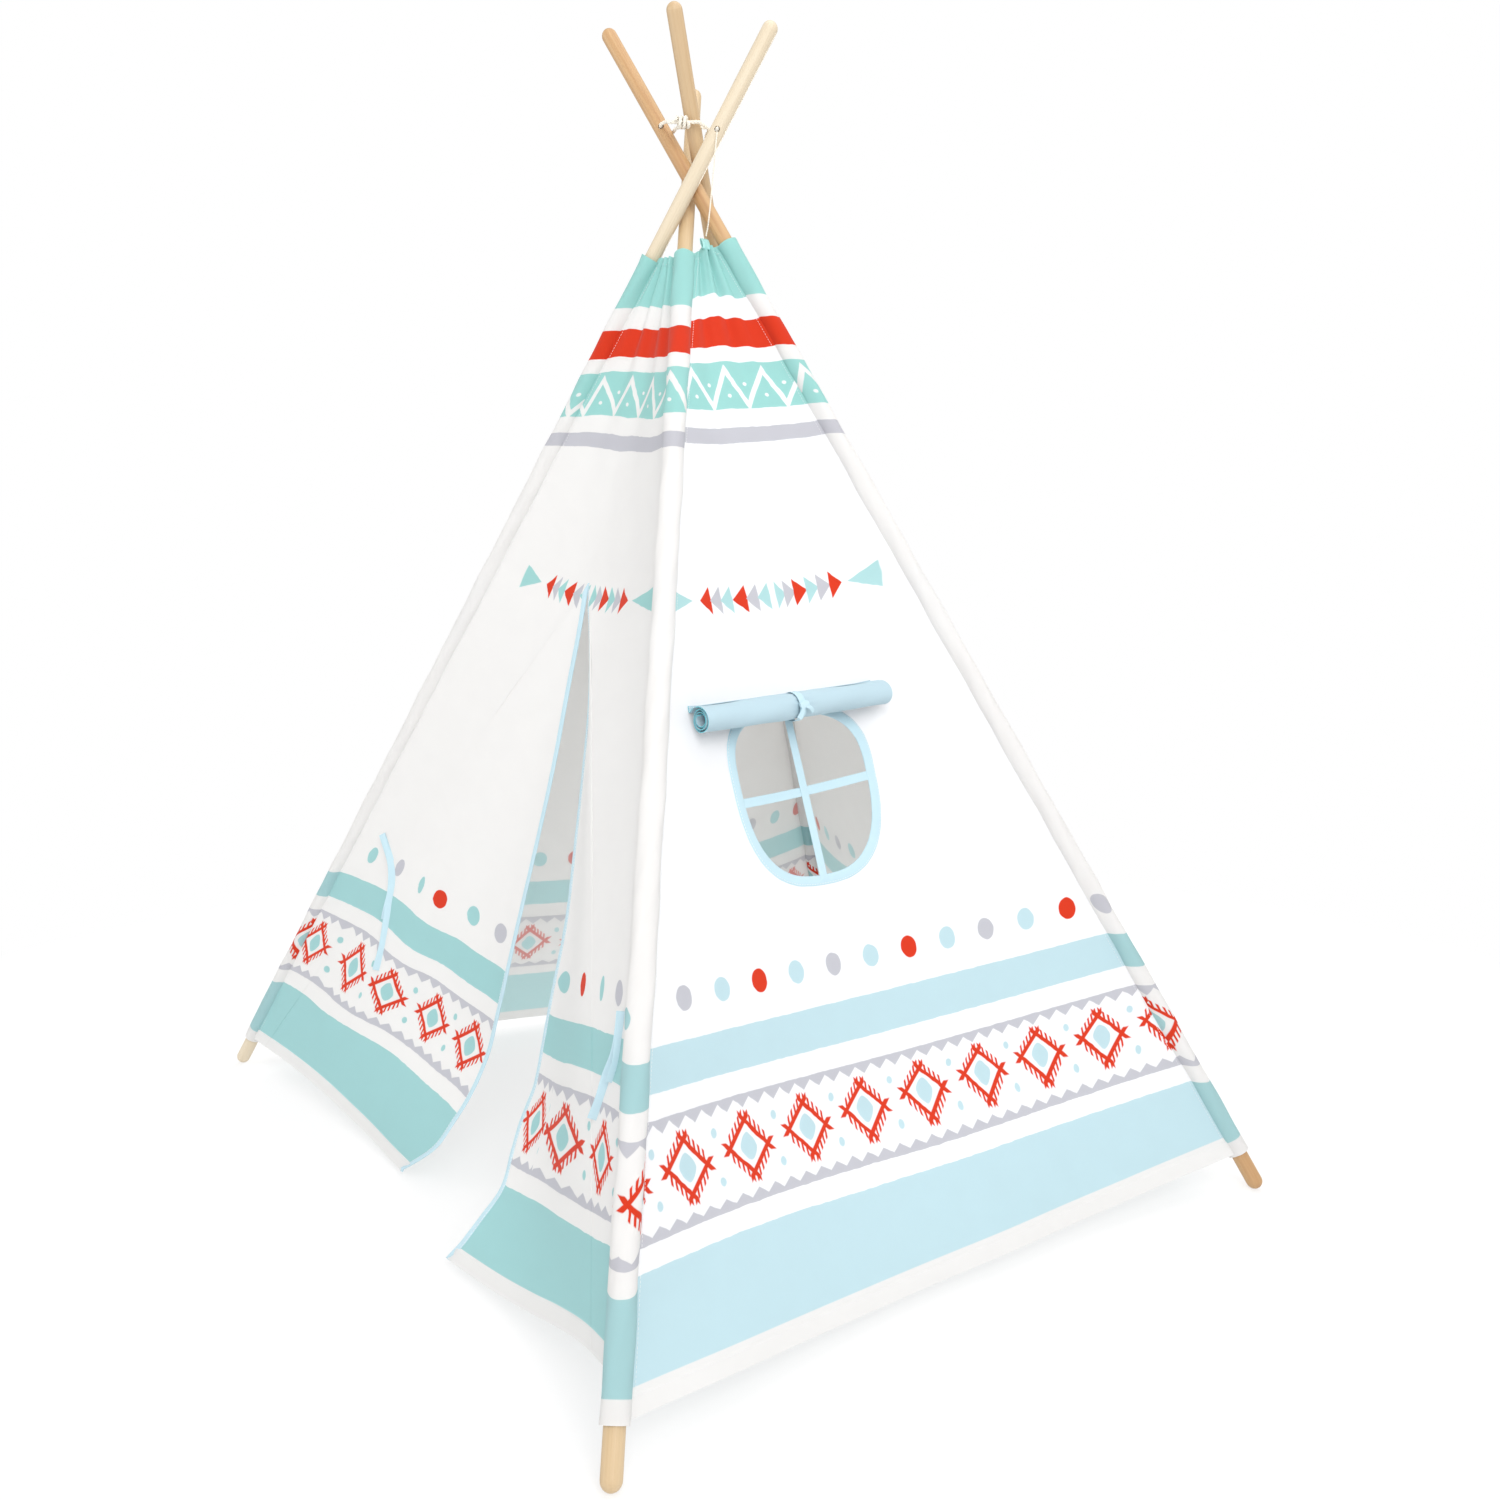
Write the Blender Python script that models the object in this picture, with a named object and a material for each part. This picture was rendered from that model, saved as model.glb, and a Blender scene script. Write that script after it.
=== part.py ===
"""Kids teepee: four crossing poles, a printed cotton canopy with a split door, a window and a rolled blind.

Metres, +Z up. The origin is on the floor under the middle of the footprint, the door looks along -Y
and the window along +X. The four poles are named front, left, right and back by their feet.
"""
import math

import bmesh
import bpy
import numpy as np
from mathutils import Matrix, Vector

# Stance of the poles
FRONT_FOOT_X = 0.657
FRONT_FOOT_Y = -0.527
LEFT_FOOT_X = -0.657
LEFT_FOOT_Y = -0.605
RIGHT_FOOT_X = 0.592
RIGHT_FOOT_Y = 0.491
BACK_FOOT_X = -0.580
BACK_FOOT_Y = 0.605
NECK_X = -0.018
NECK_Y = -0.0418
NECK_HEIGHT = 1.3937

# Poles: each is a lower and an upper wooden section in a tin ferrule
POLE_DIAMETER = 0.022
POLE_BEYOND_NECK = 0.4703
FOOT_FLAT_DEPTH = 0.0005
JOIN_HEIGHT = 0.930
FERRULE_LENGTH = 0.120
FERRULE_WALL = 0.0008
FIT_GAP = 0.0003
ROPE_HOLE_DIAMETER = 0.008
ROPE_HOLE_BELOW_TOP = 0.151
ROUND_SIDES = 20
DOME_RINGS = 6

# How the poles pass each other at the neck, in pole diameters across and along the door's diagonal
NECK_ACROSS_SHARES = {"front": -0.86, "left": 0.0, "right": 0.0, "back": 0.19}
NECK_ALONG_SHARES = {"front": 1.20, "left": -1.25, "right": -0.20, "back": 1.50}

# Each pole's own length, as a share of the common one
LENGTH_SHARES = {"front": 0.9962, "left": 1.0032, "right": 1.0075, "back": 1.0032}

# Canopy
CLOTH_THICKNESS = 0.003
SLEEVE_WALL = 0.0011
CANOPY_TOP = 1.521
CANOPY_HEM = 0.0561
HEM_DROP = 0.012
SURFACE_OFFSET = 0.006
SAG_SHARE = 0.100
HEM_SAG_SHARE = 0.055
HEM_RISE = 0.220
FOLD_DEPTH = 0.004
FOLD_START = 1.050
FOLD_COUNT = 3
DRAPE_DEPTH = 0.003
DRAPE_COUNT = 2

# Door
SLIT_TOP = 1.000
SLIT_SHARE = 0.47
FLAP_TOP_GAP = 0.035
HINGE_FROM_POLE = 0.055
HINGE_FOOT = 0.050
FLAP_GAP = 0.0006
BINDING_WIDTH = 0.010
BINDING_THICKNESS = 0.004
LEFT_EDGE_SHARES = ((0.038, 0.448), (0.070, 0.480), (0.100, 0.503), (0.150, 0.511), (0.250, 0.505), (0.370, 0.507),
                    (0.550, 0.508), (0.720, 0.506), (0.840, 0.494), (0.920, 0.486), (1.0, 0.470))
RIGHT_EDGE_SHARES = ((0.018, 0.648), (0.055, 0.667), (0.096, 0.675), (0.130, 0.676), (0.165, 0.660), (0.210, 0.645),
                     (0.267, 0.647), (0.379, 0.649), (0.500, 0.656), (0.600, 0.643), (0.700, 0.625), (0.816, 0.590),
                     (0.900, 0.543), (0.930, 0.521), (0.965, 0.490), (1.0, 0.470))
FLAP_FLARE = 0.032
FLARE_HEIGHT = 0.160

# Tie ribbons of the door
TIE_WIDTH = 0.012
TIE_THICKNESS = 0.0012
TIE_STAND = 0.0008
LEFT_TIE_SHARES = ((0.284, 0.184), (0.336, 0.173), (0.397, 0.156), (0.452, 0.132), (0.514, 0.068))
RIGHT_TIE_SHARES = ((0.291, 0.858), (0.346, 0.896), (0.390, 0.930), (0.435, 0.942))

# Window
WINDOW_CENTRE = 0.714
WINDOW_SIDEWAYS = -0.0386
WINDOW_WIDTH = 0.236
WINDOW_UP = 0.097
WINDOW_DOWN = 0.153
WINDOW_POWER = 2.7
WINDOW_BINDING = 0.012
MUNTIN_WIDTH = 0.012
MUNTIN_THICKNESS = 0.001
MUNTIN_STEP = 0.0003
CROSS_BAR_DROP = 0.025
CROSS_BAR_LEAN_SHARE = 0.089
CUT_OVERRUN = 0.200

# Blind
ROLL_OVERLAP = 0.0375
ROLL_LEAN_SHARE = 0.073
ROLL_DIAMETER = 0.036
ROLL_CLOTH = 0.0020
ROLL_TURNS = 3
ROLL_RISE = 0.0807
ROLL_SHIFT = -0.0139
ROLL_CLEARANCE = 0.003
HEADER_RISE = 0.027
HEADER_THICKNESS = 0.0012
HEADER_STAND = 0.0008
HEADER_SEAM = 0.009
BLIND_TIE_WIDTH = 0.012
BLIND_TIE_WALL = 0.0010
BLIND_TRAVEL = 0.250

# Lashing
ROPE_DIAMETER = 0.0052
HOLE_ROUTE_REACH = 0.0165
HOLE_TURN = math.radians(-32)
ROPE_POINT_STEP = 0.0070
WRAP_TURNS = 3
WRAP_PITCH = 0.0062
WRAP_GAP = 0.0008
HANG_CORD_DIAMETER = 0.0024
TAB_WIDTH = 0.014
TAB_HEIGHT = 0.016
TAB_THICKNESS = 0.0014

WOOD = (0.80, 0.60, 0.38)
TIN = (0.62, 0.63, 0.64)
COTTON = (0.90, 0.90, 0.88)
PALE_BLUE = (0.45, 0.72, 0.80)
ROPE_COTTON = (0.84, 0.80, 0.72)

POLES = ("front", "left", "right", "back")
FOOT = {"front": (FRONT_FOOT_X, FRONT_FOOT_Y), "left": (LEFT_FOOT_X, LEFT_FOOT_Y),
        "right": (RIGHT_FOOT_X, RIGHT_FOOT_Y), "back": (BACK_FOOT_X, BACK_FOOT_Y)}
POLE_LENGTH = NECK_HEIGHT + POLE_BEYOND_NECK
POLE_RADIUS = POLE_DIAMETER / 2
FERRULE_INNER = POLE_RADIUS + FIT_GAP
FERRULE_OUTER = FERRULE_INNER + FERRULE_WALL
SLEEVE_INNER = FERRULE_OUTER + FIT_GAP
SLEEVE_OUTER = SLEEVE_INNER + SLEEVE_WALL
CROSS_BAR_HEIGHT = WINDOW_CENTRE - CROSS_BAR_DROP
ROLL_LENGTH = WINDOW_WIDTH + 2 * ROLL_OVERLAP
ROLL_CENTRE = WINDOW_CENTRE + ROLL_RISE
ROLL_SIDEWAYS = WINDOW_SIDEWAYS + ROLL_SHIFT
HEADER_TOP = ROLL_CENTRE + HEADER_RISE
ROLL_RADIUS = ROLL_DIAMETER / 2
ROPE_RADIUS = ROPE_DIAMETER / 2
DIAGONAL = math.sqrt(0.5)
ACROSS = np.array([DIAGONAL, DIAGONAL, 0.0])
ALONG = np.array([-DIAGONAL, DIAGONAL, 0.0])
NECK = np.array([NECK_X, NECK_Y, NECK_HEIGHT])


def unit(vector):
    """The vector at length one."""
    return vector / np.linalg.norm(vector)


def smooth(x):
    """Smoothstep from 0 to 1, level at both ends."""
    x = np.clip(x, 0.0, 1.0)
    return x * x * (3 - 2 * x)


def curve_through(knots, x):
    """Values at x on a cubic through (place, value) knots, with each slope taken from its neighbours."""
    places, values = np.array(knots, float).T
    slopes = np.gradient(values, places)
    x = np.clip(x, places[0], places[-1])
    i = np.clip(np.searchsorted(places, x) - 1, 0, len(places) - 2)
    step = places[i + 1] - places[i]
    r = (x - places[i]) / step
    return ((2 * r**3 - 3 * r**2 + 1) * values[i] + (r**3 - 2 * r**2 + r) * step * slopes[i]
            + (3 * r**2 - 2 * r**3) * values[i + 1] + (r**3 - r**2) * step * slopes[i + 1])


class Pole:
    """Axis of a pole: s runs along it from the tip of the foot's dome."""

    def __init__(self, name):
        self.name = name
        self.neck = (NECK + ACROSS * NECK_ACROSS_SHARES[name] * POLE_DIAMETER
                     + ALONG * NECK_ALONG_SHARES[name] * POLE_DIAMETER)
        foot = np.array([*FOOT[name], POLE_RADIUS - FOOT_FLAT_DEPTH])
        self.up = unit(self.neck - foot)
        self.tip = foot - self.up * POLE_RADIUS
        level = np.array([self.up[0], self.up[1], 0.0])
        self.lean = math.atan2(np.linalg.norm(level), self.up[2])
        self.hinge = unit(np.array([self.up[1], -self.up[0], 0.0]))
        self.side = unit(np.cross(self.up, self.hinge))
        self.length = POLE_LENGTH * LENGTH_SHARES[name]

    def at(self, s):
        return self.tip + self.up * s


POLE = {name: Pole(name) for name in POLES}


class Face:
    """One side of the canopy: s is the height up both poles and t the share across from first to second."""

    def __init__(self, first, second):
        self.first, self.second = POLE[first], POLE[second]
        across = self.second.tip - self.first.tip
        normal = unit(np.cross(self.first.up + self.second.up, across))
        middle = (self.first.tip + self.second.tip) / 2 - NECK
        middle[2] = 0.0
        self.out = normal if normal @ middle > 0 else -normal
        self.across = unit(across)
        self.seat = SLEEVE_OUTER + FIT_GAP + 4 * SAG_SHARE * CLOTH_THICKNESS / 2

    def chord(self, s):
        """Vector from the first pole's axis to the second's at height s."""
        first = self.first.tip + np.multiply.outer(s, self.first.up)
        second = self.second.tip + np.multiply.outer(s, self.second.up)
        return second - first

    def width(self, s):
        return np.linalg.norm(self.chord(s), axis=-1)

    def rims(self, s):
        """Shares across at which the cloth leaves the first and reaches the second sleeve."""
        chord = self.chord(s)
        first = self.seat / np.linalg.norm(np.cross(chord, self.first.up), axis=-1)
        second = self.seat / np.linalg.norm(np.cross(chord, self.second.up), axis=-1)
        return first, 1 - second

    def share(self, s, distance):
        """Share across of a point this far from the first pole's axis."""
        return distance / self.width(s)

    def sag(self, s, t):
        """Depth of the hollow: a parabola across, shallower near the hem."""
        deep = HEM_SAG_SHARE + (SAG_SHARE - HEM_SAG_SHARE) * smooth((s - CANOPY_HEM) / HEM_RISE)
        return deep * self.width(s) * 4 * t * (1 - t)

    def folds(self, s, t):
        """Gathers below the top edge and broad soft drapes lower down, both still at the poles."""
        low_rim, high_rim = self.rims(s)
        v = np.clip((t - low_rim) / (high_rim - low_rim), 0.0, 1.0)
        top = FOLD_DEPTH * np.sin(2 * math.pi * FOLD_COUNT * v) * smooth((s - FOLD_START) / (CANOPY_TOP - FOLD_START))
        low = DRAPE_DEPTH * np.sin(2 * math.pi * DRAPE_COUNT * v) * smooth(1 - s / SLIT_TOP)
        return (top + low) * np.sin(math.pi * v)

    def point(self, s, t, out=0.0, ease=1.0):
        """Point of the cloth's middle; ease multiplies the sag and out is added towards the outside."""
        s, t = np.broadcast_arrays(np.asarray(s, float), np.asarray(t, float))
        first = self.first.tip + s[..., None] * self.first.up
        second = self.second.tip + s[..., None] * self.second.up
        rise = SURFACE_OFFSET + out - self.sag(s, t) * ease + self.folds(s, t)
        return first * (1 - t[..., None]) + second * t[..., None] + rise[..., None] * self.out

    def hem(self, t):
        """Height of the hem, a little lower between the poles."""
        return CANOPY_HEM - HEM_DROP * 4 * t * (1 - t)


DOOR = Face("left", "front")
WINDOW = Face("front", "right")
REAR = Face("right", "back")
SIDE = Face("back", "left")


class FoldLine:
    """Straight line that a door flap turns on, from the top of the slit to the hem beside a pole."""

    def __init__(self, from_second):
        self.from_second = from_second
        top_share = 1 - SLIT_SHARE if from_second else SLIT_SHARE
        self.top = top_share * DOOR.width(SLIT_TOP)
        foot_share = DOOR.share(HINGE_FOOT, HINGE_FROM_POLE)
        self.sag_top = DOOR.sag(SLIT_TOP, top_share)
        self.sag_foot = DOOR.sag(HINGE_FOOT, foot_share)

    def run(self, s):
        return (s - HINGE_FOOT) / (SLIT_TOP - HINGE_FOOT)

    def share(self, s):
        """Share across of the line at height s."""
        distance = HINGE_FROM_POLE + (self.top - HINGE_FROM_POLE) * self.run(s)
        t = distance / DOOR.width(s)
        return 1 - t if self.from_second else t

    def ease(self, s):
        """What the sag is multiplied by so that the line stays straight."""
        wanted = self.sag_foot + (self.sag_top - self.sag_foot) * self.run(s)
        return wanted / DOOR.sag(s, self.share(s))

    def axis(self):
        """Two ends of the line on the cloth's outer face, without the drapes."""
        ends = []
        for s in (HINGE_FOOT, SLIT_TOP):
            t = self.share(s)
            ends.append(DOOR.point(s, t, CLOTH_THICKNESS / 2 - DOOR.folds(s, t), self.ease(s)))
        return ends


LEFT_LINE = FoldLine(False)
RIGHT_LINE = FoldLine(True)


def clear_scene():
    for item in list(bpy.data.objects):
        bpy.data.objects.remove(item, do_unlink=True)


def make_material(name, colour, roughness, metallic=0.0):
    material = bpy.data.materials.new(name)
    material.use_nodes = True
    shader = material.node_tree.nodes["Principled BSDF"]
    shader.inputs["Base Color"].default_value = (*colour, 1.0)
    shader.inputs["Roughness"].default_value = roughness
    shader.inputs["Metallic"].default_value = metallic
    return material


def make_pivot(name, place, parent=None):
    """Empty on a joint's axis that carries the pieces of one moving body."""
    pivot = bpy.data.objects.new(name, None)
    bpy.context.collection.objects.link(pivot)
    pivot.parent = parent
    start = Vector(parent["place"]) if parent else Vector()
    pivot.location = Vector(place) - start
    pivot["place"] = list(map(float, place))
    return pivot


def add_piece(name, mesh, material, pivot, smooth_angle=40):
    """Object from a mesh drawn in world coordinates, hung on its body's pivot."""
    piece = bpy.data.objects.new(name, mesh)
    bpy.context.collection.objects.link(piece)
    piece.parent = pivot
    mesh.transform(Matrix.Translation(-Vector(pivot["place"])))
    mesh.materials.append(material)
    mesh.shade_smooth()
    mesh.set_sharp_from_angle(angle=math.radians(smooth_angle))
    return piece


def grid_mesh(name, points, wrap=False):
    """Quads over a grid of points given as rows, columns and x, y, z."""
    rows, columns = points.shape[:2]
    last = columns if wrap else columns - 1
    faces = []
    for i in range(rows - 1):
        for j in range(last):
            k = (j + 1) % columns
            faces.append((i * columns + j, i * columns + k, (i + 1) * columns + k, (i + 1) * columns + j))
    mesh = bpy.data.meshes.new(name)
    mesh.from_pydata(points.reshape(-1, 3).tolist(), [], faces)
    return mesh


def join_meshes(name, meshes):
    """One mesh of several whose shared edges are merged."""
    body = bmesh.new()
    for mesh in meshes:
        body.from_mesh(mesh)
        bpy.data.meshes.remove(mesh)
    bmesh.ops.remove_doubles(body, verts=body.verts, dist=FIT_GAP / 3)
    bmesh.ops.recalc_face_normals(body, faces=body.faces)
    mesh = bpy.data.meshes.new(name)
    body.to_mesh(mesh)
    body.free()
    return mesh


def thicken(piece, thickness):
    """Give an open cloth surface its thickness, half to each side."""
    solid = piece.modifiers.new("Thickness", "SOLIDIFY")
    solid.thickness = thickness
    solid.offset = 0.0


def cut(piece, cutter):
    """Take a hidden cutter out of a piece."""
    cutter.hide_render = True
    cutter.display_type = "WIRE"
    hole = piece.modifiers.new("Hole", "BOOLEAN")
    hole.operation = "DIFFERENCE"
    hole.solver = "EXACT"
    hole.object = cutter


def turned_mesh(name, pole, profile, closed_loop=False):
    """Solid of revolution about a pole's axis from (radius, height) pairs; radius 0 makes a point."""
    angles = np.arange(ROUND_SIDES) * 2 * math.pi / ROUND_SIDES
    ring = np.cos(angles)[:, None] * pole.side + np.sin(angles)[:, None] * pole.hinge
    verts, loops = [], []
    for radius, height in profile:
        start = len(verts)
        if radius == 0:
            verts.append(pole.at(height))
            loops.append([start] * ROUND_SIDES)
        else:
            verts.extend(pole.at(height) + radius * ring)
            loops.append(list(range(start, start + ROUND_SIDES)))
    if closed_loop:
        loops.append(loops[0])
    faces = []
    for low, high in zip(loops, loops[1:]):
        for j in range(ROUND_SIDES):
            k = (j + 1) % ROUND_SIDES
            corner = [low[j], low[k], high[k], high[j]]
            faces.append(list(dict.fromkeys(corner)))
    mesh = bpy.data.meshes.new(name)
    mesh.from_pydata([tuple(v) for v in verts], [], faces)
    tidy = bmesh.new()
    tidy.from_mesh(mesh)
    bmesh.ops.recalc_face_normals(tidy, faces=tidy.faces)
    tidy.to_mesh(mesh)
    tidy.free()
    return mesh


def dome(base, top):
    """Profile of a round pole end, from its rim at base to its tip at top."""
    turn = np.arange(DOME_RINGS) * math.pi / 2 / DOME_RINGS
    rise = 1 if top > base else -1
    return [(POLE_RADIUS * math.cos(a), base + rise * POLE_RADIUS * math.sin(a)) for a in turn] + [(0, top)]


def rope_hole(pole):
    """Centre of the cross hole near a pole's top."""
    return pole.at(POLE_LENGTH - ROPE_HOLE_BELOW_TOP)


FORWARD = np.array([math.cos(HOLE_TURN), math.sin(HOLE_TURN), 0.0])
SIDEWAYS = np.array([-math.sin(HOLE_TURN), math.cos(HOLE_TURN), 0.0])
ROPE_RUN = {"left": FORWARD, "right": FORWARD, "back": SIDEWAYS, "front": SIDEWAYS}


def make_pole(name, wood, tin, cotton, pivot):
    """Lower and upper section, the ferrule that joins them and the canopy's sleeve over all three."""
    pole = POLE[name]
    lower = turned_mesh(name, pole, dome(POLE_RADIUS, 0)[::-1] + [(POLE_RADIUS, JOIN_HEIGHT), (0, JOIN_HEIGHT)])
    foot = bmesh.new()
    foot.from_mesh(lower)
    whole = foot.verts[:] + foot.edges[:] + foot.faces[:]
    bmesh.ops.bisect_plane(foot, geom=whole, plane_co=(0, 0, 0), plane_no=(0, 0, -1), clear_outer=True)
    bmesh.ops.holes_fill(foot, edges=[e for e in foot.edges if e.is_boundary])
    bmesh.ops.recalc_face_normals(foot, faces=foot.faces)
    foot.to_mesh(lower)
    foot.free()
    add_piece(f"pole_{name}_lower", lower, wood, pivot)

    start = JOIN_HEIGHT + FIT_GAP
    upper = turned_mesh(name, pole, [(0, start), (POLE_RADIUS, start)] + dome(pole.length - POLE_RADIUS, pole.length))
    drilled = add_piece(f"pole_{name}_upper", upper, wood, pivot)
    drill = bpy.data.meshes.new(f"drill_{name}")
    shape = bmesh.new()
    bmesh.ops.create_cone(shape, cap_ends=True, segments=ROUND_SIDES, radius1=ROPE_HOLE_DIAMETER / 2,
                          radius2=ROPE_HOLE_DIAMETER / 2, depth=2 * POLE_DIAMETER)
    turn = Vector((0, 0, 1)).rotation_difference(Vector(ROPE_RUN[name])).to_matrix().to_4x4()
    shape.transform(Matrix.Translation(rope_hole(pole)) @ turn)
    shape.to_mesh(drill)
    shape.free()
    cut(drilled, add_piece(f"drill_{name}", drill, wood, pivot))

    low, high = JOIN_HEIGHT - FERRULE_LENGTH / 2, JOIN_HEIGHT + FERRULE_LENGTH / 2
    tube = [(FERRULE_INNER, low), (FERRULE_OUTER, low), (FERRULE_OUTER, high), (FERRULE_INNER, high)]
    add_piece(f"ferrule_{name}", turned_mesh(name, pole, tube, True), tin, pivot)

    rows = np.linspace(CANOPY_HEM, CANOPY_TOP, 5)
    sleeve = [(SLEEVE_INNER, CANOPY_HEM)] + [(SLEEVE_OUTER, s) for s in rows] + [(SLEEVE_INNER, CANOPY_TOP)]
    add_piece(f"sleeve_{name}", turned_mesh(name, pole, sleeve, True), cotton, pivot)


def panel_grid(face, rows, columns):
    """Whole side from edge to edge, from the hem to the top edge."""
    lift = np.linspace(0, 1, rows)[:, None]
    across = np.linspace(0, 1, columns)[None, :]
    s = face.hem(across) * (1 - lift) + CANOPY_TOP * lift
    low_rim, high_rim = face.rims(s)
    return face.point(s, low_rim + (high_rim - low_rim) * across)


def make_panel(name, face, rows, columns, material, pivot):
    piece = add_piece(name, grid_mesh(name, panel_grid(face, rows, columns)), material, pivot)
    thicken(piece, CLOTH_THICKNESS)
    return piece


def door_strip(line, rows, columns):
    """Cloth between a pole's sleeve and the fold line of the flap beside it."""
    lift = np.linspace(0, 1, rows)[:, None]
    across = np.linspace(0, 1, columns)[None, :]
    s = HINGE_FOOT * (1 - lift) + SLIT_TOP * lift + 0 * across
    low_rim, high_rim = DOOR.rims(s)
    half_gap = FLAP_GAP / 2 / DOOR.width(s) * (1 - lift**8)
    if line.from_second:
        near, far = high_rim, line.share(s) + half_gap
    else:
        near, far = low_rim, line.share(s) - half_gap
    t = near + (far - near) * across
    flat = DOOR.folds(s, t) * smooth(across)
    return DOOR.point(s, t, -flat, line.ease(s))


def make_door(material, pivot):
    """Door side in one piece: whole above the slit, and a narrow strip down beside each pole."""
    rows, columns = 8, 7
    lift = np.linspace(0, 1, rows)[:, None]
    above = []
    for start_left in (True, False):
        across = np.linspace(0, 1, columns)[None, :]
        s = SLIT_TOP + (CANOPY_TOP - SLIT_TOP) * lift + 0 * across
        low_rim, high_rim = DOOR.rims(s)
        near = low_rim if start_left else high_rim
        t = near + (SLIT_SHARE - near) * across
        fade = smooth(1 - lift * 3) * smooth(across)
        above.append(grid_mesh("above", DOOR.point(s, t, -DOOR.folds(s, t) * fade)))
    strips = [grid_mesh("strip", door_strip(line, 15, columns)) for line in (LEFT_LINE, RIGHT_LINE)]
    piece = add_piece("door_panel", join_meshes("door_panel", above + strips), material, pivot)
    thicken(piece, CLOTH_THICKNESS)


def flap_point(line, edges, s, tau):
    """Point of a flap: tau is 0 on its fold line and 1 on its free edge."""
    free = curve_through(edges, s / SLIT_TOP)
    gap = FLAP_GAP / 2 / DOOR.width(s)
    start = line.share(s) - gap if line.from_second else line.share(s) + gap
    t = start + (free - start) * tau
    ease = line.ease(s)
    ease = ease + (1 - ease) * smooth(tau)
    flare = FLAP_FLARE * smooth(1 - s / FLARE_HEIGHT) * tau**2 if line.from_second else 0.0
    return DOOR.point(s, t, flare - DOOR.folds(s, t) * (1 - smooth(tau)), ease)


def make_flap(name, line, edges, cotton, blue, pivot):
    """Triangle of cloth from its fold line to its bound free edge."""
    rows, columns = 16, 8
    lift = np.linspace(0, 1, rows)[:, None]
    top = SLIT_TOP - FLAP_TOP_GAP
    foot = HINGE_FOOT - (HEM_DROP if not line.from_second else 2 * HEM_DROP) * np.linspace(0, 1, columns)[None, :]
    s = foot * (1 - lift) + top * lift
    free = curve_through(edges, s / SLIT_TOP)
    reach = np.abs(free - line.share(s)) * DOOR.width(s)
    inner = 1 - (BINDING_WIDTH + FIT_GAP) / reach
    tau = np.linspace(0, 1, columns)[None, :] * inner
    piece = add_piece(name, grid_mesh(name, flap_point(line, edges, s, tau)), cotton, pivot)
    thicken(piece, CLOTH_THICKNESS)

    ends = s[:, -1:]
    width = reach[:, -1:]
    across = 1 - BINDING_WIDTH / width * np.array([[1.0, 0.0]])
    band = grid_mesh(name, flap_point(line, edges, ends + 0 * across, across))
    strip = add_piece(name.replace("door_flap", "flap_binding"), band, blue, pivot)
    thicken(strip, BINDING_THICKNESS)


def window_outline(angle, grow):
    """Height and distance from the middle of a rounded window, its curve grown outwards by grow."""
    c, s = np.cos(angle), np.sin(angle)
    tall = np.where(s > 0, WINDOW_UP, WINDOW_DOWN) + grow
    wide = WINDOW_WIDTH / 2 + grow
    sideways = WINDOW_SIDEWAYS + wide * np.sign(c) * np.abs(c)**(2 / WINDOW_POWER)
    height = WINDOW_CENTRE + tall * np.sign(s) * np.abs(s)**(2 / WINDOW_POWER)
    return height, sideways


def on_window(height, sideways, out=0.0):
    """Point of the window side at a distance sideways from its middle line."""
    return WINDOW.point(height, 0.5 + sideways / WINDOW.width(height), out)


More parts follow.
